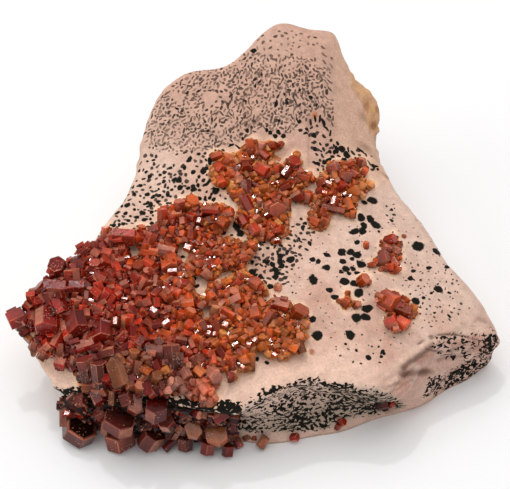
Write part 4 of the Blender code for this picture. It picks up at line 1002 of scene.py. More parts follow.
def stone_colours(points, normals, degrees, profile, pink, cream):
    """Ground colour of the stone at each point: paints laid over one another by soft masks, some of them
    painted light and shade.
    """
    x, y, _ = np.moveaxis(points, -1, 0)
    across, along = pixels = np.moveaxis(project(points), -1, 0)
    seen = shown(normals, SEEN)
    colour = painted(np.broadcast_to(pink, points.shape), cream, (0.5 + noise(points, "cream")).clip(0, 1))

    def lay(paint, mask, share):
        colour[...] = painted(colour, screen(*paint), share * mask)

    for paint, share, along_x, along_y in GROUND_REGIONS:
        lay(paint, between(x, *along_x) * between(y, *along_y), share)
    wall = eased(profile, 0.5, 2.5)
    facet = eased(x, *FACET_X) * eased(y, *FACET_Y) * (1 - wall)
    lumps = picture_patch(points, normals, TAN_LUMPS, 2.5)
    tip = picture_patch(points, normals, TIP_ROCK, 2.5)
    hollow = picture_patch(points, normals, DARK_FRONT, 3.0)
    hidden = wall * (1 - shown(normals, HIDDEN))
    for name, mask in (
        ("facet", facet),
        ("facet foot", facet * (1 - eased(y, *FACET_FOOT))),
        ("facet streaks", facet * eased(noise(points, "facet streaks"), 0.15, 0.7) * eased(x, *STREAKS_X)),
        ("tan lumps", lumps),
        ("tan pits", lumps * eased(noise(points, "tan pits"), 0.2, 0.6)),
        ("tip", tip),
        ("pale tip", tip * eased(noise(points, "pale tip"), 0.1, 0.5)),
        ("front", between(degrees, *FRONT_WALL) * wall),
        # the front hollow's ground is lightened: painted light that lifts its shade
        ("hollow", hollow),
        ("hollow foot", hollow * eased(along + HOLLOW_SLANT * (across - 300), *HOLLOW_FOOT)),
        ("hidden tan", hidden * eased(noise(points, "hidden tan"), 0.0, 0.5)),
        ("hidden grey", hidden * eased(noise(points, "hidden grey"), 0.1, 0.5)),
        ("left wall", between(degrees, *LEFT_WALL) * wall),
    ):
        lay(PAINTS[name][0], mask, PAINTS[name][1])
    waver = noise(points, "stain waver")
    for stain_x, stain_y, radius, stain in STAINS:
        apart = np.hypot(across - stain_x, along - stain_y) + waver
        lay(stain, seen * (1 - eased(apart, 0.6 * radius, 1.1 * radius)), STAIN_SHARE)
    # A pale halo round the groups: a real cream crust, partly painted light that offsets the shade beside the
    # crystals
    beside = np.max([group_depth(spec, np.moveaxis(pixels, 0, -1)) for spec in GROUPS], axis=0)
    lay(PAINTS["halo"][0], seen * eased(beside, *HALO), PAINTS["halo"][1])
    # Tip creases: painted shade in the creases, and a painted highlight on the pale ridge
    waver = noise(points, "crease waver")
    for line, width, crease, _ in TIP_CREASES:
        apart = line_distance(line, across, along) + waver
        lay(crease, seen * (1 - eased(apart, 0.2 * width, 1.3 * width)), CREASE_SHARE)
    return np.concatenate([colour, np.ones((*colour.shape[:-1], 1))], -1)


def speckle_density(points, normals, profile):
    """How dense the fine black pattern of the front is at each point, from 0 to 1."""
    clumps = noise(points, "clumps")
    density = np.max([picture_patch(points, normals, polygon, 3.0) * (strength + clumps)
                      for polygon, strength in DARK_REGIONS], axis=0)
    hidden = eased(profile, 1.0, 4.0) * (1 - shown(normals, HIDDEN)) * eased(points[..., 2], 0, 3)
    patches = noise(points @ TURNED, "hidden spots") + noise(points @ TURNED.T, "hidden specks")
    patches = eased(patches, 0.2, 0.7) * (0.55 + clumps)
    return np.clip(np.maximum(density, hidden * patches), 0, 1)


def picture_frames(angle, tilt):
    """Axis and side directions of crystals from the angle in the picture and the tilt to the viewer.

    The axis runs along the picture at its angle and rises out of it by the tilt; the side is
    the direction towards the viewer made square to the axis.
    """
    _, right, up, back = view_axes()
    angle, tilt = np.radians(angle)[:, None], np.radians(tilt)[:, None]
    flat = np.cos(angle) * right + np.sin(angle) * up
    return np.cos(tilt) * flat + np.sin(tilt) * back, np.cos(tilt) * back - np.sin(tilt) * flat


def mirror_frames(angle, places):
    """Axis and side directions of crystals whose side shows the viewer the small bright light."""
    eye, right, up, _ = view_axes()
    light = np.array(GLINT_PLACE) / MM - SHIFT
    side = unit(unit(eye - places) + unit(light - places))
    angle = np.radians(angle)[:, None]
    flat = np.cos(angle) * right + np.sin(angle) * up
    return unit(flat - (flat * side).sum(1, keepdims=True) * side), side


def cross_sections(widths, spins, uneven, cut):
    """Corners of each crystal's cross section: a hexagon, its corners cut if asked for.

    The six sides stand at their own distances from the axis; two neighbours meet where both
    their lines are crossed, and each such corner is cut at a share of the sides beside it.
    """
    turn = np.radians(spins)[:, None] + np.arange(SIDES) * np.pi / 3
    distance = widths[:, None] / 2 * np.cos(np.pi / 6) * uneven
    onward = np.roll(distance, -1, axis=1)
    along = (onward - distance * np.cos(np.pi / 3)) / np.sin(np.pi / 3)
    normal = np.stack([np.cos(turn), np.sin(turn)], -1)
    tangent = np.stack([-np.sin(turn), np.cos(turn)], -1)
    corner = normal * distance[..., None] + tangent * along[..., None]
    if not cut:
        return corner
    before = corner + CHAMFER * (np.roll(corner, 1, axis=1) - corner)
    after = corner + CHAMFER * (np.roll(corner, -1, axis=1) - corner)
    return np.stack([before, after], 2).reshape(len(widths), 2 * SIDES, 2)


def crystals(stand, end, seed):
    """Closed hexagonal prisms as points, quads, end faces and the kind of each face.

    A point is the prism's centre, plus a height along the axis, plus the cross section scaled by
    the profile of the end. A prism that would reach below the floor is raised. A corner gets
    painted shade, darker the deeper it lies beneath the centre, seen from what the prism stands on.
    """
    centre, width, length = stand["centre"], stand["width"], stand["length"]
    axis, side = stand["axis"], stand["side"]
    count = len(centre)
    uneven = np.random.default_rng(seed).uniform(*UNEVEN, (count, SIDES))
    section = cross_sections(width, stand["turn"], uneven, len(end) > 1)
    flat = section[..., :1] * side[:, None] + section[..., 1:] * np.cross(axis, side)[:, None]
    shares = np.array([1.0] + [share for share, _, _ in end])
    below = np.array([below for _, below, _ in end])
    heights = np.concatenate([-length[:, None] / 2, length[:, None] / 2 - below * width[:, None]], 1)
    centre = centre[:, None, None]
    points = centre + heights[:, :, None, None] * axis[:, None, None]
    points = points + shares[:, None, None] * flat[:, None]
    out = stand.get("out", np.tile((0.0, 0.0, 1.0), (count, 1)))[:, None, None]
    # Painted shade: corners that lie low towards what the prism stands on are darker
    buried = 1 - eased(((points - centre) * out).sum(-1) / width[:, None, None], *BURIED_RISE)
    points[..., 2] += np.maximum(FLOOR_GAP - points[..., 2].min((1, 2), keepdims=True), 0)
    levels, columns = len(shares), section.shape[1]
    level, column = np.mgrid[:levels - 1, :columns]
    following = (column + 1) % columns
    near, far = level * columns, (level + 1) * columns
    quads = np.stack([near + column, near + following, far + following, far + column], -1).reshape(-1, 4)
    rims = (level > 0) | (column % 2 == 0) & (columns > SIDES)
    ends = np.stack([np.arange(columns)[::-1], np.arange(columns) + (levels - 1) * columns])
    starts = (np.arange(count) * levels * columns)[:, None, None]
    return {
        "points": points.reshape(-1, 3),
        "quads": (quads + starts).reshape(-1, 4),
        "ends": (ends + starts).reshape(-1, columns),
        "rims": np.tile(rims.ravel(), (count, 1)),
        "quad_levels": np.tile(np.stack([level, level, level + 1, level + 1], -1).reshape(-1, 4), (count, 1)),
        # painted shade of each point where it lies low, and of each level at the foot and the ends
        "buried": 1 - (1 - BURIED_SHADE) * buried.ravel(),
        "shades": np.array([BASE_SHADE] + [shade for _, _, shade in end]),
        "count": count,
        "tone": stand["tone"],
    }


def standing(*values):
    """Crystals as arrays of their centres, widths, lengths, axes, sides, turns and tones."""
    return dict(zip(("centre", "width", "length", "axis", "side", "turn", "tone"), values))


def offshoots(stand, seed, number, shares, scatter):
    """Smaller crystals grown out of larger ones: shares of their width, and how their axes scatter."""
    rng = np.random.default_rng(seed)
    stand = {key: np.repeat(values, number, axis=0) for key, values in stand.items()}
    count = len(stand["width"])
    width = stand["width"] * rng.uniform(*shares, count)
    length = np.minimum(stand["length"] * rng.uniform(*SHOOT_LENGTHS, count), width * 1.3)
    turn = rng.uniform(0, 2 * np.pi, count)
    across = np.cross(stand["axis"], stand["side"])
    out = np.cos(turn)[:, None] * stand["side"] + np.sin(turn)[:, None] * across
    away = (stand["width"] * rng.uniform(*SHOOT_AWAY, count))[:, None]
    along = (stand["length"] * rng.uniform(SHOOT_LOW, SHOOT_HIGH + 0.2 * scatter, count))[:, None]
    axis = unit(stand["axis"] + rng.normal(0, scatter, (count, 3)))
    side = unit(stand["side"] - (stand["side"] * axis).sum(1, keepdims=True) * axis)
    return standing(stand["centre"] + away * out + along * stand["axis"], width, length, axis, side,
                    stand["turn"] + rng.normal(0, 8, count), stand["tone"] + rng.normal(0, 0.25, count))


def edge_distance(polygon, x, y):
    """Distance of points from a polygon's edge, positive inside it and negative outside."""
    nearest = line_distance((*polygon, polygon[0]), x, y)
    return np.where(inside(polygon, x, y), nearest, -nearest)


def group_depth(spec, pixels):
    """How far inside a group's outline, and outside the gaps in it, pixels lie."""
    x, y = pixels[..., 0], pixels[..., 1]
    depth = edge_distance(spec["outline"], x, y)
    for gap in spec["gaps"]:
        depth = np.minimum(depth, -edge_distance(gap, x, y))
    return depth


def crust_rise(spec, depth):
    """Height of the crust over the stone: steep at the group's edge and flat within."""
    share = np.clip(depth / CRUST_EDGE, 0, 1)
    rise = spec["thickness"] * (1 - (1 - share) ** 2)
    return np.where(depth > 0, rise, -CRUST_SINK * np.clip(-depth / CRUST_FADE, 0, 1))


def stood(rows, surface, lift=PLACED_LIFT):
    """Placed crystals from rows of pixel place, size, angle, tilt, turn and tone.

    A crystal's middle stands off the surface by the lift in shares of its width.
    """
    rows = np.array(rows, float)
    axis, side = picture_frames(rows[:, 4], rows[:, 5])
    width = PLACED_WIDTH * rows[:, 2] * PIXEL
    return standing(surface(rows[:, :2], lift * width), width, PLACED_LENGTH * rows[:, 3] * PIXEL,
                    axis, side, rows[:, 6], rows[:, 7])


def glinting(rows, surface):
    """Crystals that mirror the small light, from rows of pixel place, size, angle and tone."""
    rows = np.array(rows, float)
    centre = surface(rows[:, :2], GLINT_LIFT * rows[:, 2] * PIXEL)
    axis, side = mirror_frames(rows[:, 4], centre)
    width, length = GLINT_SHARE * PIXEL * rows[:, 2:4].T
    return standing(centre, width, length, axis, side, np.zeros(len(rows)), rows[:, 5])


def group_surface(spec):
    """A function that places pixels, with a lift, on a group's crust."""
    def surface(pixels, lift):
        return on_stone(pixels, crust_rise(spec, group_depth(spec, pixels)) + lift)
    return surface


def low_left(pixels):
    """How far pixels lie in the low front-left of the main group, from 0 to 1."""
    return eased(pixels[:, 1], *LOW_ROWS) * (1 - eased(pixels[:, 0], *LEFT_COLUMNS))


def group_tone(spec, pixels):
    """Usual tone of a group's crystals: maroon at the far left and low front to orange at the right."""
    if spec is MAIN_DRUSE:
        return along_run(MAIN_TONES, pixels[:, 0]) - LOW_LEFT_DARKER * low_left(pixels)
    return along_run(OTHER_TONES, pixels[:, 0])


def grown(spec, seed, tries, widths, closeness, lifts, taken):
    """Many smaller crystals within a group's outline, clear of the placed ones.

    Places are tried over the outline's box in the picture; each takes its width from the run
    across the group and is kept when it stands clear of those before it. Axes point anywhere
    in the picture and mostly a little towards the viewer.
    """
    rng = np.random.default_rng(seed)
    corners = np.array(spec["outline"], float)
    low, high = corners.min(0), corners.max(0)
    pixels = rng.uniform(low, high, (tries, 2))
    depth = group_depth(spec, pixels)
    width = np.interp(pixels[:, 0], (low[0], high[0]), widths) * rng.uniform(*SMALL_WIDTHS, tries)
    width = np.minimum(width, EDGE_WIDTH + EDGE_GAIN * np.maximum(depth, 0))
    fits = depth > rng.uniform(*EDGE_FRAY, tries)
    pixels, width, depth = pixels[fits], width[fits], depth[fits]
    chosen = spread(pixels, width * closeness * 2, taken)
    pixels, width, depth = pixels[chosen], width[chosen], depth[chosen]
    lift = crust_rise(spec, depth) + width * PIXEL * rng.uniform(*lifts, len(width))
    centre = on_stone(pixels, lift)
    carried = stone_top(centre[:, 0], centre[:, 1])[1] > RIM_MARGIN
    centre, pixels, width, depth = centre[carried], pixels[carried], width[carried], depth[carried]
    count = len(pixels)
    sizes = width * PIXEL
    angle = rng.uniform(0, 360, count)
    axis, side = picture_frames(angle, rng.triangular(*SMALL_TILTS, count))
    mirrors = (rng.uniform(0, 1, count) < MIRROR_CHANCE) & (width < MIRROR_WIDTH)
    axis[mirrors], side[mirrors] = mirror_frames(angle[mirrors], centre[mirrors])
    tone = group_tone(spec, pixels) + rng.normal(0, SMALL_TONES, count)
    bare = rng.uniform(0, 1, count) ** 6
    edge = np.clip(1 - depth / EDGE_DEPTH, 0, 1)
    rosy = (spec is MAIN_DRUSE) & (rng.uniform(0, 1, count) < ROSY_SHARE * low_left(pixels))
    less = 1 - (1 - PALER_KEPT) * eased(pixels[:, 0], *PALER_LESS)
    paler = (BARE_PALER * bare + EDGE_PALER * edge * less) * eased(pixels[:, 0], *PALER_START)
    return standing(centre, sizes, sizes * rng.uniform(*SMALL_LENGTHS, count), axis, side,
                    rng.uniform(0, 60, count) * ~mirrors,
                    np.where(rosy, rng.uniform(*ROSY_TONES, count), np.clip(tone + paler, 0, PALEST)))


def shell_grid(spec, columns, rows):
    """A crust's closed skin: a pad over the stone that sinks into it outside the outline.

    Its reach ends a margin inside the stone's own edge, so that none of it hangs free.
    """
    turn = np.arange(columns) * 360 / columns
    steps = np.arange(len(spec["reach"])) * 360 / len(spec["reach"])
    reach = periodic(steps, spec["reach"], turn)
    across, along = np.cos(np.radians(turn)), np.sin(np.radians(turn))
    (middle_x, middle_y), inner = spec["centre"], CRUST_START
    tried = np.linspace(inner, 1.0, 200)[:, None]
    gap = stone_top(middle_x + reach * tried * across, middle_y + reach * tried * along)[1]
    reach = reach * np.where(gap > CRUST_MARGIN, tried, 0).max(0)
    foot_shares, foot_depths = np.transpose(CRUST_FEET)[..., None]
    shares = np.concatenate([np.linspace(inner, 1.0, rows)[:, None], foot_shares])
    x, y = middle_x + reach * shares * across, middle_y + reach * shares * along
    top = stone_top(x, y)[0]
    rise = np.zeros(x.shape)
    for _ in range(6):
        depth = group_depth(spec, project(np.stack([x, y, top + rise], -1)))
        rise = 0.5 * (rise + crust_rise(spec, depth))
    points = np.stack([x, y, top + rise], -1)
    points[..., 2] += noise(points, "crust lumps") * np.clip(rise, 0, 1)
    points[rows:, :, 2] = top[rows:] - foot_depths
    return points, depth


def outward(places):
    """Level directions from the stone's middle to places."""
    return unit((places - (CENTRE_X, CENTRE_Y, 0)) * (1, 1, 0))


def from_wall(stand):
    """The same crystals, their shading taken from the wall behind them and not from below."""
    return {**stand, "out": outward(stand["centre"])}


def ledge_surface(degrees, down):
    """A place on the crust under the ledge, at an angle and a fraction of the way down the wall.

    It stands off the stone's upper edge by a swell that changes with the angle, draws in
    towards the foot, and joins the wall at both ends of its run.
    """
    radius, height = wall_point(degrees, down)
    swell = along_run(LEDGE_SWELL, degrees) * eased(down, 0.0, 0.2)
    joined = between(degrees, LEDGE_START, LEDGE_START + 5, LEDGE_END - 13, LEDGE_END - 4)
    target = outline(degrees)[0] + swell - LEDGE_IN - LEDGE_DRAW * down**3
    radius = radius - LEDGE_SUNK + joined * (np.maximum(target, radius) + LEDGE_SUNK - radius)
    return np.stack([*around(degrees, radius), np.maximum(height, 0.4)], -1)


def on_ledge(pixels, lift):
    """Where the crust under the ledge shows at pixels, or comes nearest the ray, plus half a lift.

    Each ray is followed from high to low; it meets the crust where its distance from the
    stone's centre is first no more than the crust's.
    """
    eye, ray = view_rays(pixels)
    heights = np.linspace(17.0, 0.5, 120)
    places = eye + ray[:, None] * ((heights - eye[2]) / ray[:, None, 2])[..., None]
    from_x, from_y = places[..., 0] - CENTRE_X, places[..., 1] - CENTRE_Y
    degrees = np.mod(np.degrees(np.arctan2(from_y, from_x)), 360)
    crest = top_height(*around(degrees, outline(degrees)[0])) - EDGE_DROP
    skin = ledge_surface(degrees, np.clip(1 - heights / crest, 0.0, 0.97))
    beyond = np.hypot(from_x, from_y) - np.hypot(skin[..., 0] - CENTRE_X, skin[..., 1] - CENTRE_Y)
    met = np.argmax(beyond <= 0, axis=1)
    met = np.where(np.any(beyond <= 0, axis=1), met, np.argmin(beyond, axis=1))
    place = places[np.arange(len(pixels)), met]
    return place + outward(place) * lift[:, None] / 2


def on_wall(pixels, lift):
    """The places on the stone's front wall that show nearest to pixels, moved out by half a lift."""
    degrees, down = np.meshgrid(np.arange(250, 345, 0.5), np.linspace(0.05, 0.95, 46))
    radius, height = wall_point(degrees, down)
    places = np.stack([*around(degrees, radius), height], -1).reshape(-1, 3)
    seen_at = project(places)
    place = places[[np.argmin(np.hypot(*(seen_at - pixel).T)) for pixel in pixels]]
    return place + outward(place) * lift[:, None] / 2


def ledge_growth(seed, tries, widths, closeness, taken, last):
    """Smaller crystals over the crust under the ledge, clear of the placed ones in the picture."""
    rng = np.random.default_rng(seed)
    degrees = rng.uniform(LEDGE_START + 3, LEDGE_END - last, tries)
    down = rng.uniform(0.12, 0.93, tries)
    width = rng.uniform(*widths, tries)
    pixels = project(ledge_surface(degrees, down))
    chosen = spread(pixels, width * closeness * 2, taken)
    degrees, down, width = degrees[chosen], down[chosen], width[chosen] * PIXEL
    count = len(width)
    axis, side = picture_frames(rng.uniform(0, 360, count), rng.triangular(-20, 20, 70, count))
    tone = along_run(LEDGE_TONES, degrees) + rng.normal(0, 0.4, count)
    return standing(ledge_surface(degrees, down), width, width * rng.uniform(0.7, 1.2, count), axis, side,
                    rng.uniform(0, 60, count), np.clip(tone, -1, 4))


def ledge_grid(columns, rows):
    """The crust under the ledge: a swelling sheet along the wall, closed through the stone."""
    degrees = np.linspace(LEDGE_START, LEDGE_END, columns)
    outer, inner = [], []
    for down in np.linspace(0.07, 0.94, rows):
        radius, height = wall_point(degrees, down)
        outer.append(ledge_surface(degrees, down))
        inner.append(np.stack([*around(degrees, radius - CRUST_DEPTH), np.maximum(height, 1.0)], -1))
    outer = np.array(outer)
    outer += noise(outer, "ledge lumps")[..., None] * (0.5, -0.7, 0.3)
    return np.swapaxes(np.concatenate([outer, np.array(inner)[::-1]]), 0, 1)


def closed_skin(points):
    """A grid of rings as points, quads and pole fans."""
    rows, columns = points.shape[:2]
    poles = [points[0].mean(0), points[-1].mean(0)]
    quads, fans = grid_faces(rows, columns)
    return np.concatenate([points.reshape(-1, 3), poles]), quads, fans


def ledge_skin():
    """The crust under the ledge as a skin: black above, maroon below, and grey patches at its right."""
    points, quads, fans = closed_skin(ledge_grid(*LEDGE_GRID))
    low = eased(noise(points, "ledge stain") + (LEDGE_BAND - points[:, 2]) / 4, 0.0, 1.0)
    grey = eased(noise(points, "ledge grey"), 0.1, 0.45) * (1 - 0.7 * low) * eased(points[:, 0], -18, -8)
    colours = painted(np.array(screen(*LEDGE_BLACK)), screen(*LEDGE_CRUST), low)
    return points, quads[:, ::-1], fans[:, ::-1], painted(colours, screen(*LEDGE_GREY), grey)


def add_mesh(name, points, faces, look, settings):
    """A mesh object in metres that rides the specimen; settings give the node that it replaces, and a slot
    that is not used.
    """
    mesh = bpy.data.meshes.new(name)
    world = (points + np.array(SHIFT)) * MM
    mesh.from_pydata(world.tolist(), [], [face for part in faces for face in part.tolist()])
    mesh.materials.append(look)
    piece = bpy.data.objects.new(name, mesh)
    bpy.context.scene.collection.objects.link(piece)
    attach(piece, "root")
    if settings.get("node"):
        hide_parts(settings["node"])
    return piece


def add_attribute(piece, name, kind, domain, values):
    """Store numbers on a mesh's points, faces or face corners."""
    layer = piece.data.attributes.new(name, kind, domain)
    key = {"FLOAT": "value", "FLOAT_VECTOR": "vector", "FLOAT_COLOR": "color"}[kind]
    layer.data.foreach_set(key, np.asarray(values, np.float32).ravel())


def node(tree, kind, feeds=None, **settings):
    """Add a shader node; feeds gives each named input a value or the output that feeds it."""
    made = tree.nodes.new(kind)
    for key, value in settings.items():
        setattr(made, key, value)
    for key, value in (feeds or {}).items():
        if isinstance(value, bpy.types.NodeSocket):
            tree.links.new(value, made.inputs[key])
        else:
            made.inputs[key].default_value = value
    return made


def arithmetic(tree, operation, *values, clamp=False):
    """One sum of numbers: its output."""
    made = node(tree, "ShaderNodeMath", dict(enumerate(values)), operation=operation, use_clamp=clamp)
    return made.outputs[0]


def ramp(tree, value, low, high, to_low=0.0, to_high=1.0):
    """A value carried from one range to another with soft ends: its output."""
    feeds = {"Value": value, "From Min": low, "From Max": high, "To Min": to_low, "To Max": to_high}
    return node(tree, "ShaderNodeMapRange", feeds, interpolation_type="SMOOTHSTEP").outputs["Result"]


def mixed(tree, share, first, second, blend="MIX"):
    """Two colours mixed by a share: the output."""
    made = node(tree, "ShaderNodeMix", {0: share, 6: first, 7: second}, data_type="RGBA", blend_type=blend)
    return made.outputs[2]


def clouds(tree, place, scale, detail, distortion=0.0):
    """Outputs of a cloudy noise at a place."""
    feeds = {"Vector": place, "Scale": scale, "Detail": detail, "Distortion": distortion}
    return node(tree, "ShaderNodeTexNoise", feeds).outputs


def vector_sum(tree, operation, first, second):
    """One sum of vectors: its output."""
    return node(tree, "ShaderNodeVectorMath", {0: first, 1: second}, operation=operation).outputs[0]


def stored(tree, name):
    """Outputs of numbers that are stored on the mesh."""
    return node(tree, "ShaderNodeAttribute", attribute_name=name).outputs


def new_material(name, finish):
    """A material with a Principled shader whose plain values are set; its tree and shader."""
    look = bpy.data.materials.new(name)
    look.use_nodes = True
    shader = look.node_tree.nodes["Principled BSDF"]
    for key, value in finish.items():
        shader.inputs[key].default_value = value
    return look, look.node_tree, shader


def add_bump(tree, shader, height, strength, distance):
    """Raise the shader's surface by a height."""
    bump = node(tree, "ShaderNodeBump", {"Height": height, "Strength": strength, "Distance": distance})
    tree.links.new(bump.outputs["Normal"], shader.inputs["Normal"])


def mottle_group():
    """A shared effect: uneven light and dark patches, and the height of a fine grain."""
    if "mottle" in bpy.data.node_groups:
        return bpy.data.node_groups["mottle"]
    tree = bpy.data.node_groups.new("mottle", "ShaderNodeTree")
    for name, default in (("Patch Scale", 300.0), ("Grain Scale", 2500.0), ("Amount", 0.2)):
        socket = tree.interface.new_socket(name, in_out="INPUT", socket_type="NodeSocketFloat")
        socket.default_value = default
    for name in ("Shade", "Height"):
        tree.interface.new_socket(name, in_out="OUTPUT", socket_type="NodeSocketFloat")
    given = node(tree, "NodeGroupInput").outputs
    place = node(tree, "ShaderNodeTexCoord").outputs["Object"]
    patches = clouds(tree, place, given["Patch Scale"], 4.0)["Fac"]
    grain = clouds(tree, place, given["Grain Scale"], 2.0)["Fac"]
    both = arithmetic(tree, "SUBTRACT", arithmetic(tree, "ADD", patches, grain), 1.0)
    shade = arithmetic(tree, "MULTIPLY_ADD", both, given["Amount"], 1.0)
    node(tree, "NodeGroupOutput", {"Shade": shade, "Height": grain})
    return tree


def add_mottle(tree, patch_scale, grain_scale, amount):
    """The mottle effect with its values: its shade and height outputs."""
    made = tree.nodes.new("ShaderNodeGroup")
    made.node_tree = mottle_group()
    for key, value in (("Patch Scale", patch_scale), ("Grain Scale", grain_scale), ("Amount", amount)):
        made.inputs[key].default_value = value
    return made.outputs["Shade"], made.outputs["Height"]


def spot_ink(tree, name, warp):
    """Ink of the nearest spots from their stored places: dark within the warped rim."""
    moved = vector_sum(tree, "ADD", stored(tree, name)["Vector"], warp)
    parts = node(tree, "ShaderNodeSeparateXYZ", {0: moved}).outputs
    plan = node(tree, "ShaderNodeCombineXYZ", {0: parts[0], 1: parts[1]}).outputs[0]
    away = node(tree, "ShaderNodeVectorMath", {0: plan}, operation="LENGTH").outputs["Value"]
    return arithmetic(tree, "MULTIPLY", ramp(tree, away, *SPOT_RIM, 1.0, 0.0), parts[2])


def stone_look(settings):
    """Pink stone: its ground colours, black spots and the fine black pattern of the front."""
    look, tree, shader = new_material("pink_stone", {"Specular IOR Level": 0.12, "Roughness": 0.8})
    place = node(tree, "ShaderNodeTexCoord").outputs["Object"]
    shade, height = add_mottle(tree, 620.0, 2800.0, 0.55)
    ground = mixed(tree, 1.0, stored(tree, "ground")["Color"], shade, "MULTIPLY")
    centred = vector_sum(tree, "SUBTRACT", clouds(tree, place, 1500.0, 1.0)["Color"], (0.5, 0.5, 0.5))
    warp = vector_sum(tree, "MULTIPLY", centred, (0.5, 0.5, 0.0))
    ink = arithmetic(tree, "MAXIMUM", spot_ink(tree, "near_spot", warp), spot_ink(tree, "next_spot", warp))
    stretched = node(tree, "ShaderNodeMapping", {"Vector": place, "Scale": (1.0, 1.0, 1.45)}).outputs[0]
    fine = clouds(tree, stretched, 1300.0, 1.6, 0.5)["Fac"]
    density = stored(tree, "speckle")["Fac"]
    level = arithmetic(tree, "MULTIPLY_ADD", density, SPECKLE_GAIN, fine)
    pattern = arithmetic(tree, "MULTIPLY", ramp(tree, level, *SPECKLE_RIM), ramp(tree, density, 0.05, 0.2))
    colour = mixed(tree, arithmetic(tree, "MAXIMUM", ink, pattern), ground, (*settings.ink, 1.0))
    tree.links.new(colour, shader.inputs["Base Color"])
    add_bump(tree, shader, height, 0.5, 0.0003)
    return look


def crystal_look():
    """Red crystal: stored tints, painted sparkle highlights, a waxy to glassy gloss and light that passes the
    thin edges.

    The tint's fourth number is one on crystals and zero on the dull crust between them.
    """
    if "red_crystal_gloss" in bpy.data.materials:
        return bpy.data.materials["red_crystal_gloss"]
    look, tree, shader = new_material("red_crystal_gloss", {
        "IOR": 1.6, "Specular IOR Level": 0.16, "Transmission Weight": 0.2,
        "Subsurface Weight": 0.32, "Subsurface Radius": (1.0, 0.24, 0.12), "Subsurface Scale": 0.0006})
    shade, height = add_mottle(tree, 800.0, 2600.0, 0.9)
    tint = stored(tree, "tint")
    colour = mixed(tree, 1.0, tint["Color"], shade, "MULTIPLY")
    place = node(tree, "ShaderNodeTexCoord").outputs["Object"]
    # Painted sparkle highlights: small bright specks in patches, on the crystals only
    specks = ramp(tree, clouds(tree, place, 3600.0, 0.0)["Fac"], 0.68, 0.76, 0.0, 0.55)
    here = ramp(tree, clouds(tree, place, 420.0, 1.0)["Fac"], 0.52, 0.64)
    specks = arithmetic(tree, "MULTIPLY", arithmetic(tree, "MULTIPLY", specks, here), tint["Alpha"])
    colour = mixed(tree, specks, colour, (*screen(*SPARKLE_HIGHLIGHT), 1.0))
    tree.links.new(colour, shader.inputs["Base Color"])
    crust = arithmetic(tree, "SUBTRACT", 1.0, tint["Alpha"])
    dull = arithmetic(tree, "MULTIPLY_ADD", crust, 0.5, ramp(tree, height, 0.3, 0.7, 0.08, 0.2))
    tree.links.new(dull, shader.inputs["Roughness"])
    add_bump(tree, shader, height, 0.12, 0.00015)
    return look


def tone_colour(tone):
    """Colours between the named tones."""
    steps = np.arange(len(TONES)) + DARKEST_TONE
    linear = np.array([screen(*colour) for colour in TONES])
    return np.stack([np.interp(tone, steps, linear[:, k]) for k in range(3)], -1)


def crystal_tints(built, seed):
    """Colour of every face corner of built crystals: per crystal, per face and along its length, with painted
    shade, sheen and rim highlights.
    """
    rng = np.random.default_rng(seed)
    count, rims, shades, tone = (built[key] for key in ("count", "rims", "shades", "tone"))
    # Colour of the painted sheen that some sides and ends get
    pale = screen(*SHEEN_TINT)
    amber = (eased(tone, AMBER_START, AMBER_FULL) * (tone < AMBER_END))[:, None]
    strength = STRENGTH + STRENGTH_SPREAD * rng.uniform(0, 1, (count, 1)) ** 1.4
    base = tone_colour(tone) * (strength + amber * (AMBER_STRENGTH - strength))
    # Painted light and shade that changes from side to side, painted sheen on some sides and the painted
    # highlight on the rims
    side = base[:, None] * rng.uniform(*SIDE_SHADES, (*rims.shape, 1))
    side = painted(side, pale, rng.uniform(*SIDE_SHEEN, rims.shape).clip(0))
    side = painted(side, screen(*RIM_HIGHLIGHT), RIM_HIGHLIGHT_SHARE * rims)
    # Painted shade at the foot of each crystal and where it lies low, less of it on amber ones
    lit = 1 - (1 - built["buried"]) * np.repeat(1 - AMBER_LIT * amber, len(built["buried"]) // count)
    depth = shades[built["quad_levels"].reshape(count, -1, 4)] * lit[built["quads"]].reshape(count, -1, 4)
    # Ends: painted shade at the foot, on dark ends and in hollows, and painted sheen on plain ends
    end = base[:, None] * np.array([shades[0], END_SHADE * shades[-1]])[None, :, None]
    end = painted(end, pale, rng.uniform(*END_SHEEN, (count, 1)).clip(0) * (shades[-1] > 0.9))
    return side[:, :, None] * depth[..., None], end[:, :, None] * lit[built["ends"]].reshape(count, 2, -1, 1)


def cluster_piece(name, skins, crystal_sets, node_name):
    """One piece from crust skins and sets of crystals, with the tint of each face corner.

    A skin is points, quads, fans and a colour for each point. Each part is faces, the tints of
    their corners and their gloss.
    """
    points, skin_quads, skin_fans, quads, ends = [], [], [], [], []

    def add(parts, faces, tints, gloss):
        parts.append((faces + sum(map(len, points)), tints, gloss))

    for places, of_quads, of_fans, colours in skins:
        add(skin_quads, of_quads, colours[of_quads], 0.0)
        add(skin_fans, of_fans, colours[of_fans], 0.0)
        points.append(places)
    for number, built in enumerate(crystal_sets):
        side_tints, end_tints = crystal_tints(built, number)
        add(quads, built["quads"], side_tints, 1.0)
        add(ends, built["ends"], end_tints, 1.0)
        points.append(built["points"])
    parts = skin_quads + quads + ends + skin_fans
    tints = [np.column_stack([tint.reshape(-1, 3), np.full(faces.size, gloss)])
             for faces, tint, gloss in parts]
    faces = [part[0] for part in parts]
    settings = {"slot": "red_crystal", "node": node_name}
    piece = add_mesh(name, np.concatenate(points), faces, crystal_look(), settings)
    add_attribute(piece, "tint", "FLOAT_COLOR", "CORNER", np.concatenate(tints))


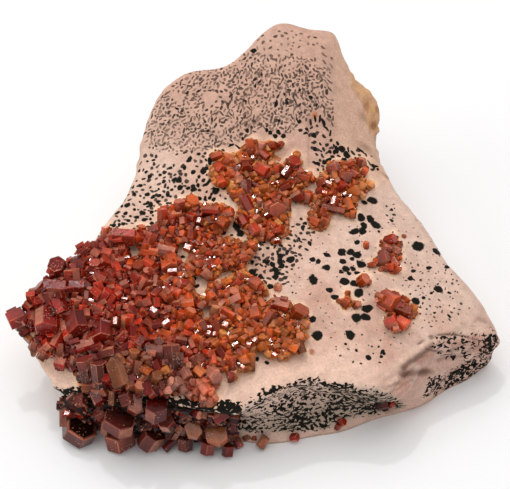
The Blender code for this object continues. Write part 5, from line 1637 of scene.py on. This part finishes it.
def crust_piece(spec, columns, rows):
    """One group's crust as a skin with its colours: darkened within by painted shade, amber to cream at its
    edge.
    """
    grid, depth = shell_grid(spec, columns, rows)
    points, quads, fans = closed_skin(grid)
    depth = np.append(depth.ravel(), [20, 0])
    # Painted shade: the crust between the crystals is a tone darker and dimmed
    deep = tone_colour(group_tone(spec, project(points)) - CRUST_DARKER) * CRUST_SHADE
    edge = 1 - eased(depth + noise(points, "crust edge"), 1, 5)
    light = tone_colour(np.full(len(points), CRUST_EDGE_TONE)) * CRUST_EDGE_LIGHT
    return points, quads, fans, painted(deep, light, edge)


def group_sets(spec):
    """A group's placed crystals, mirroring crystals and growths as crystal sets."""
    surface = group_surface(spec)
    number = GROUPS.index(spec)
    rows = np.array(spec["crystals"], float)
    sets = [crystals(stood(rows, surface), PLAIN_END, PLACED_SEED + number)]
    large = rows[rows[:, 2] >= PARENT_WIDTH]
    if len(large):
        parents = stood(large, surface)
        for seed, each, shares, scatter, end in OFFSHOOTS:
            shoots = offshoots(parents, seed + number, each, shares, scatter)
            sets.append(crystals(shoots, end, seed + SHAPE_SEED + number))
    taken = rows[:, :3] * (1, 1, 0.62)
    if spec["glints"]:
        sets.append(crystals(glinting(spec["glints"], surface), PLAIN_END, GLINT_SEED + number))
        taken = np.concatenate([taken, np.array(spec["glints"], float)[:, :3]])
    for seed, tries, widths, closeness, lifts in spec["growths"]:
        end, near = (PLAIN_END, taken) if widths[0] > CLEAR_WIDTH else (SHARP_END, [])
        sets.append(crystals(grown(spec, seed, tries, widths, closeness, lifts, near), end, seed))
    return [built for built in sets if built["count"]]


def ledge_sets():
    """The placed crystals, mirroring crystals and growths under the ledge as crystal sets."""
    rows = np.array(LEDGE_CRYSTALS, float)
    glints = np.array(LEDGE_GLINTS, float)
    taken = np.concatenate([rows[:, :3] * (1, 1, 0.9), glints[:, :3]])
    hollow = rows[:, 2] >= HOLLOW_WIDTH
    dark = ~hollow & (rows[:, 2] >= DARK_WIDTH)
    placed = ((hollow, HOLLOW_END, 200), (dark, DARK_END, 201), (~hollow & ~dark, PLAIN_END, 205))
    sets = [crystals(from_wall(stood(rows[chosen], on_ledge, LEDGE_LIFT)), end, seed)
            for chosen, end, seed in placed]
    sets.append(crystals(glinting(glints, on_ledge), PLAIN_END, 202))
    for growth, end, seed in (((203, 5000, (8.0, 15.0), 0.34, taken, 9.0), PLAIN_END, 204),
                              ((207, 5000, (4.0, 7.0), 0.36, [], 4.0), SHARP_END, 208)):
        sets.append(crystals(from_wall(ledge_growth(*growth)), end, seed))
    return sets


class StoneSettings(bpy.types.PropertyGroup):
    """Sizes and colours of the stone."""

    columns: bpy.props.IntProperty(
        name="Columns", description="Points round the stone", default=680, min=72)
    top_rows: bpy.props.IntProperty(
        name="Top rows", description="Rings on the stone's top", default=104, min=10)
    wall_rows: bpy.props.IntProperty(
        name="Wall rows", description="Rings on the stone's wall", default=34, min=4)
    base_rows: bpy.props.IntProperty(
        name="Base rows", description="Rings on the stone's base", default=4, min=1)
    pink: bpy.props.FloatVectorProperty(
        name="Pink", description="Main colour of the stone", subtype="COLOR", default=screen(206, 162, 142))
    cream: bpy.props.FloatVectorProperty(
        name="Cream", description="Paler patches of the stone", subtype="COLOR",
        default=screen(224, 190, 172))
    ink: bpy.props.FloatVectorProperty(
        name="Ink", description="Colour of the black spots", subtype="COLOR", default=screen(24, 22, 16))


class CrystalSettings(bpy.types.PropertyGroup):
    """Fineness of the crystal groups."""

    crust_columns: bpy.props.IntProperty(
        name="Crust columns", description="Points round the largest group's crust", default=300, min=24)
    crust_rows: bpy.props.IntProperty(
        name="Crust rows", description="Rings of points on the largest group's crust", default=64, min=8)


class StageSettings(bpy.types.PropertyGroup):
    """Camera, floor and lights."""

    distance: bpy.props.FloatProperty(
        name="Distance", description="From the camera to what it looks at", unit="LENGTH",
        default=VIEW_DISTANCE * MM)
    floor_size: bpy.props.FloatProperty(
        name="Floor size", description="Side of the square floor", unit="LENGTH", default=4.0)
    floor_colour: bpy.props.FloatVectorProperty(
        name="Floor colour", description="Colour of the pale floor", subtype="COLOR",
        default=(0.92, 0.92, 0.92))
    sky: bpy.props.FloatProperty(
        name="Surroundings", description="Strength of the even light around", default=0.56)
    key: bpy.props.FloatProperty(
        name="Key", description="Power of the broad light above", unit="POWER", default=4.15)
    key_size: bpy.props.FloatProperty(
        name="Key size", description="Side of the broad light above", unit="LENGTH", default=0.95)
    side: bpy.props.FloatProperty(
        name="Side", description="Power of the broad light at the left", unit="POWER", default=1.2)
    side_size: bpy.props.FloatProperty(
        name="Side size", description="Side of the broad light at the left", unit="LENGTH", default=0.5)
    glint: bpy.props.FloatProperty(
        name="Glint", description="Power of the small bright light behind", unit="POWER", default=0.95)
    glint_size: bpy.props.FloatProperty(
        name="Glint size", description="Side of the small bright light", unit="LENGTH", default=0.03)


class SpecimenMakeStone(bpy.types.Operator):
    """Make the pink stone with its spots"""

    bl_idname = "specimen.make_stone"
    bl_label = "Stone"

    def execute(self, context):
        settings = context.scene.stone_settings
        rows = (settings.top_rows, settings.wall_rows, settings.base_rows)
        points, degrees, profile = stone_grid(settings.columns, *rows)
        degrees = np.broadcast_to(degrees, profile.shape)
        normals = grid_normals(points)
        points = points + normals * stone_relief(points, normals, degrees, profile)[..., None]
        points[rows[0] + rows[1] - 1:, :, 2] = 0.0
        vertices, quads, fans = closed_skin(points)
        stone = add_mesh("stone", vertices, [quads, fans], stone_look(settings),
                         {"slot": "pink_stone", "node": "matrix_rock"})
        colours = stone_colours(points, normals, degrees, profile, settings.pink, settings.cream)
        colours = colours.reshape(-1, 4)
        add_attribute(stone, "ground", "FLOAT_COLOR", "POINT", np.concatenate([colours, colours[[0, -1]]]))
        speckle = speckle_density(points, normals, profile).ravel()
        add_attribute(stone, "speckle", "FLOAT", "POINT", np.append(speckle, [0, 0]))
        top = quads[:settings.top_rows * settings.columns]
        found = nearest_spots(vertices[top][..., :2])
        far = np.broadcast_to(NO_SPOT, (4 * (len(quads) - len(top)) + 3 * len(fans), 3))
        for name, places in zip(("near_spot", "next_spot"), found):
            add_attribute(stone, name, "FLOAT_VECTOR", "CORNER", np.concatenate([places.reshape(-1, 3), far]))
        stone.data.shade_smooth()
        return {"FINISHED"}


class SpecimenMakeMainDruse(bpy.types.Operator):
    """Make the large crystal group and the crystals under the ledge"""

    bl_idname = "specimen.make_main_druse"
    bl_label = "Main group"

    def execute(self, context):
        settings = context.scene.crystal_settings
        skins = [crust_piece(MAIN_DRUSE, settings.crust_columns, settings.crust_rows), ledge_skin()]
        cluster_piece("main_group", skins, group_sets(MAIN_DRUSE) + ledge_sets(), "main_druse")
        return {"FINISHED"}


class SpecimenMakeUpperCluster(bpy.types.Operator):
    """Make the crystal group in the middle of the slope"""

    bl_idname = "specimen.make_upper_cluster"
    bl_label = "Upper group"

    def execute(self, context):
        settings = context.scene.crystal_settings
        skins, sets = [], []
        for spec in (UPPER_LEFT, UPPER_RIGHT):
            skins.append(crust_piece(spec, settings.crust_columns // 2, settings.crust_rows // 2))
            sets += group_sets(spec)
        cluster_piece("upper_group", skins, sets, "upper_cluster")
        return {"FINISHED"}


class SpecimenMakeSmallGroups(bpy.types.Operator):
    """Make the four small crystal groups on the right and the crystals that stand alone"""

    bl_idname = "specimen.make_small_groups"
    bl_label = "Small groups"

    def execute(self, context):
        settings = context.scene.crystal_settings
        for spec in (EAST, SOUTHEAST, MIDDLE, SOUTH):
            skins = [crust_piece(spec, settings.crust_columns // 4, settings.crust_rows // 4)]
            cluster_piece(spec["name"] + "_look", skins, group_sets(spec), spec["name"])
        alone = crystals(stood(STRAY_CRYSTALS, on_stone), PLAIN_END, 210)
        low = crystals(from_wall(stood(WALL_CRYSTALS, on_wall, WALL_LIFT)), PLAIN_END, 211)
        cluster_piece("stray_crystals", [], [alone, low], None)
        return {"FINISHED"}


class SpecimenMakeStage(bpy.types.Operator):
    """Make the floor, the lights and the camera"""

    bl_idname = "specimen.make_stage"
    bl_label = "Stage"

    def execute(self, context):
        settings = context.scene.stage_settings
        make_floor(settings)
        make_lights(settings)
        make_camera(settings)
        context.scene.view_settings.view_transform = "Standard"
        return {"FINISHED"}


def make_floor(settings):
    """A plain pale floor under the specimen."""
    half = settings.floor_size / 2
    mesh = bpy.data.meshes.new("floor")
    corners = [(-half, -half, 0), (half, -half, 0), (half, half, 0), (-half, half, 0)]
    mesh.from_pydata(corners, [], [(0, 1, 2, 3)])
    look, _, _ = new_material("floor", {"Base Color": (*settings.floor_colour, 1.0), "Roughness": 0.9})
    mesh.materials.append(look)
    floor = bpy.data.objects.new("floor", mesh)
    bpy.context.scene.collection.objects.link(floor)


def make_lights(settings):
    """Even light all round, and three area lights that look at the specimen."""
    world = bpy.data.worlds.new("surroundings")
    bpy.context.scene.world = world
    world.use_nodes = True
    background = world.node_tree.nodes["Background"]
    background.inputs["Color"].default_value = (1.0, 1.0, 1.0, 1.0)
    background.inputs["Strength"].default_value = settings.sky
    for name, place, size, power in (
        ("key", KEY_PLACE, settings.key_size, settings.key),
        ("side", SIDE_PLACE, settings.side_size, settings.side),
        ("glint", GLINT_PLACE, settings.glint_size, settings.glint),
    ):
        light = bpy.data.lights.new(name, "AREA")
        light.size = size
        light.energy = power
        lamp = bpy.data.objects.new(name, light)
        lamp.location = place
        lamp.rotation_euler = (-Vector(place)).to_track_quat("-Z", "Y").to_euler()
        bpy.context.scene.collection.objects.link(lamp)


def make_camera(settings):
    """The camera at the photograph's angle."""
    tilt = np.radians(VIEW_ELEVATION)
    target = (Vector(VIEW_TARGET) + Vector(SHIFT)) * MM
    back = Vector((0.0, -np.cos(tilt), np.sin(tilt)))
    camera = bpy.data.objects.new("camera", bpy.data.cameras.new("camera"))
    camera.data.lens = VIEW_LENS
    camera.data.sensor_width = SENSOR_WIDTH
    camera.location = target + back * settings.distance
    camera.rotation_euler = back.to_track_quat("Z", "Y").to_euler()
    bpy.context.scene.collection.objects.link(camera)
    bpy.context.scene.camera = camera


class SpecimenPanel(bpy.types.Panel):
    """Lists the pieces of the specimen"""

    bl_idname = "VIEW3D_PT_specimen"
    bl_label = "Vanadinite specimen"
    bl_space_type = "VIEW_3D"
    bl_region_type = "UI"
    bl_category = "Specimen"

    def draw(self, context):
        for operator in OPERATORS:
            self.layout.operator(operator.bl_idname)


OPERATORS = (
    SpecimenMakeStone,
    SpecimenMakeMainDruse,
    SpecimenMakeUpperCluster,
    SpecimenMakeSmallGroups,
    SpecimenMakeStage,
)
SETTINGS = {
    "stone_settings": StoneSettings,
    "crystal_settings": CrystalSettings,
    "stage_settings": StageSettings,
}


def register():
    """Register the settings, the operators and the panel."""
    for name, settings in SETTINGS.items():
        bpy.utils.register_class(settings)
        setattr(bpy.types.Scene, name, bpy.props.PointerProperty(type=settings))
    for made in (*OPERATORS, SpecimenPanel):
        bpy.utils.register_class(made)


def unregister():
    """Undo what register does."""
    for made in (SpecimenPanel, *reversed(OPERATORS)):
        bpy.utils.unregister_class(made)
    for name, settings in SETTINGS.items():
        delattr(bpy.types.Scene, name)
        bpy.utils.unregister_class(settings)


def main():
    """Make every piece."""
    register()
    bpy.ops.specimen.make_stone()
    bpy.ops.specimen.make_main_druse()
    bpy.ops.specimen.make_upper_cluster()
    bpy.ops.specimen.make_small_groups()
    bpy.ops.specimen.make_stage()


if __name__ == "__main__":
    main()
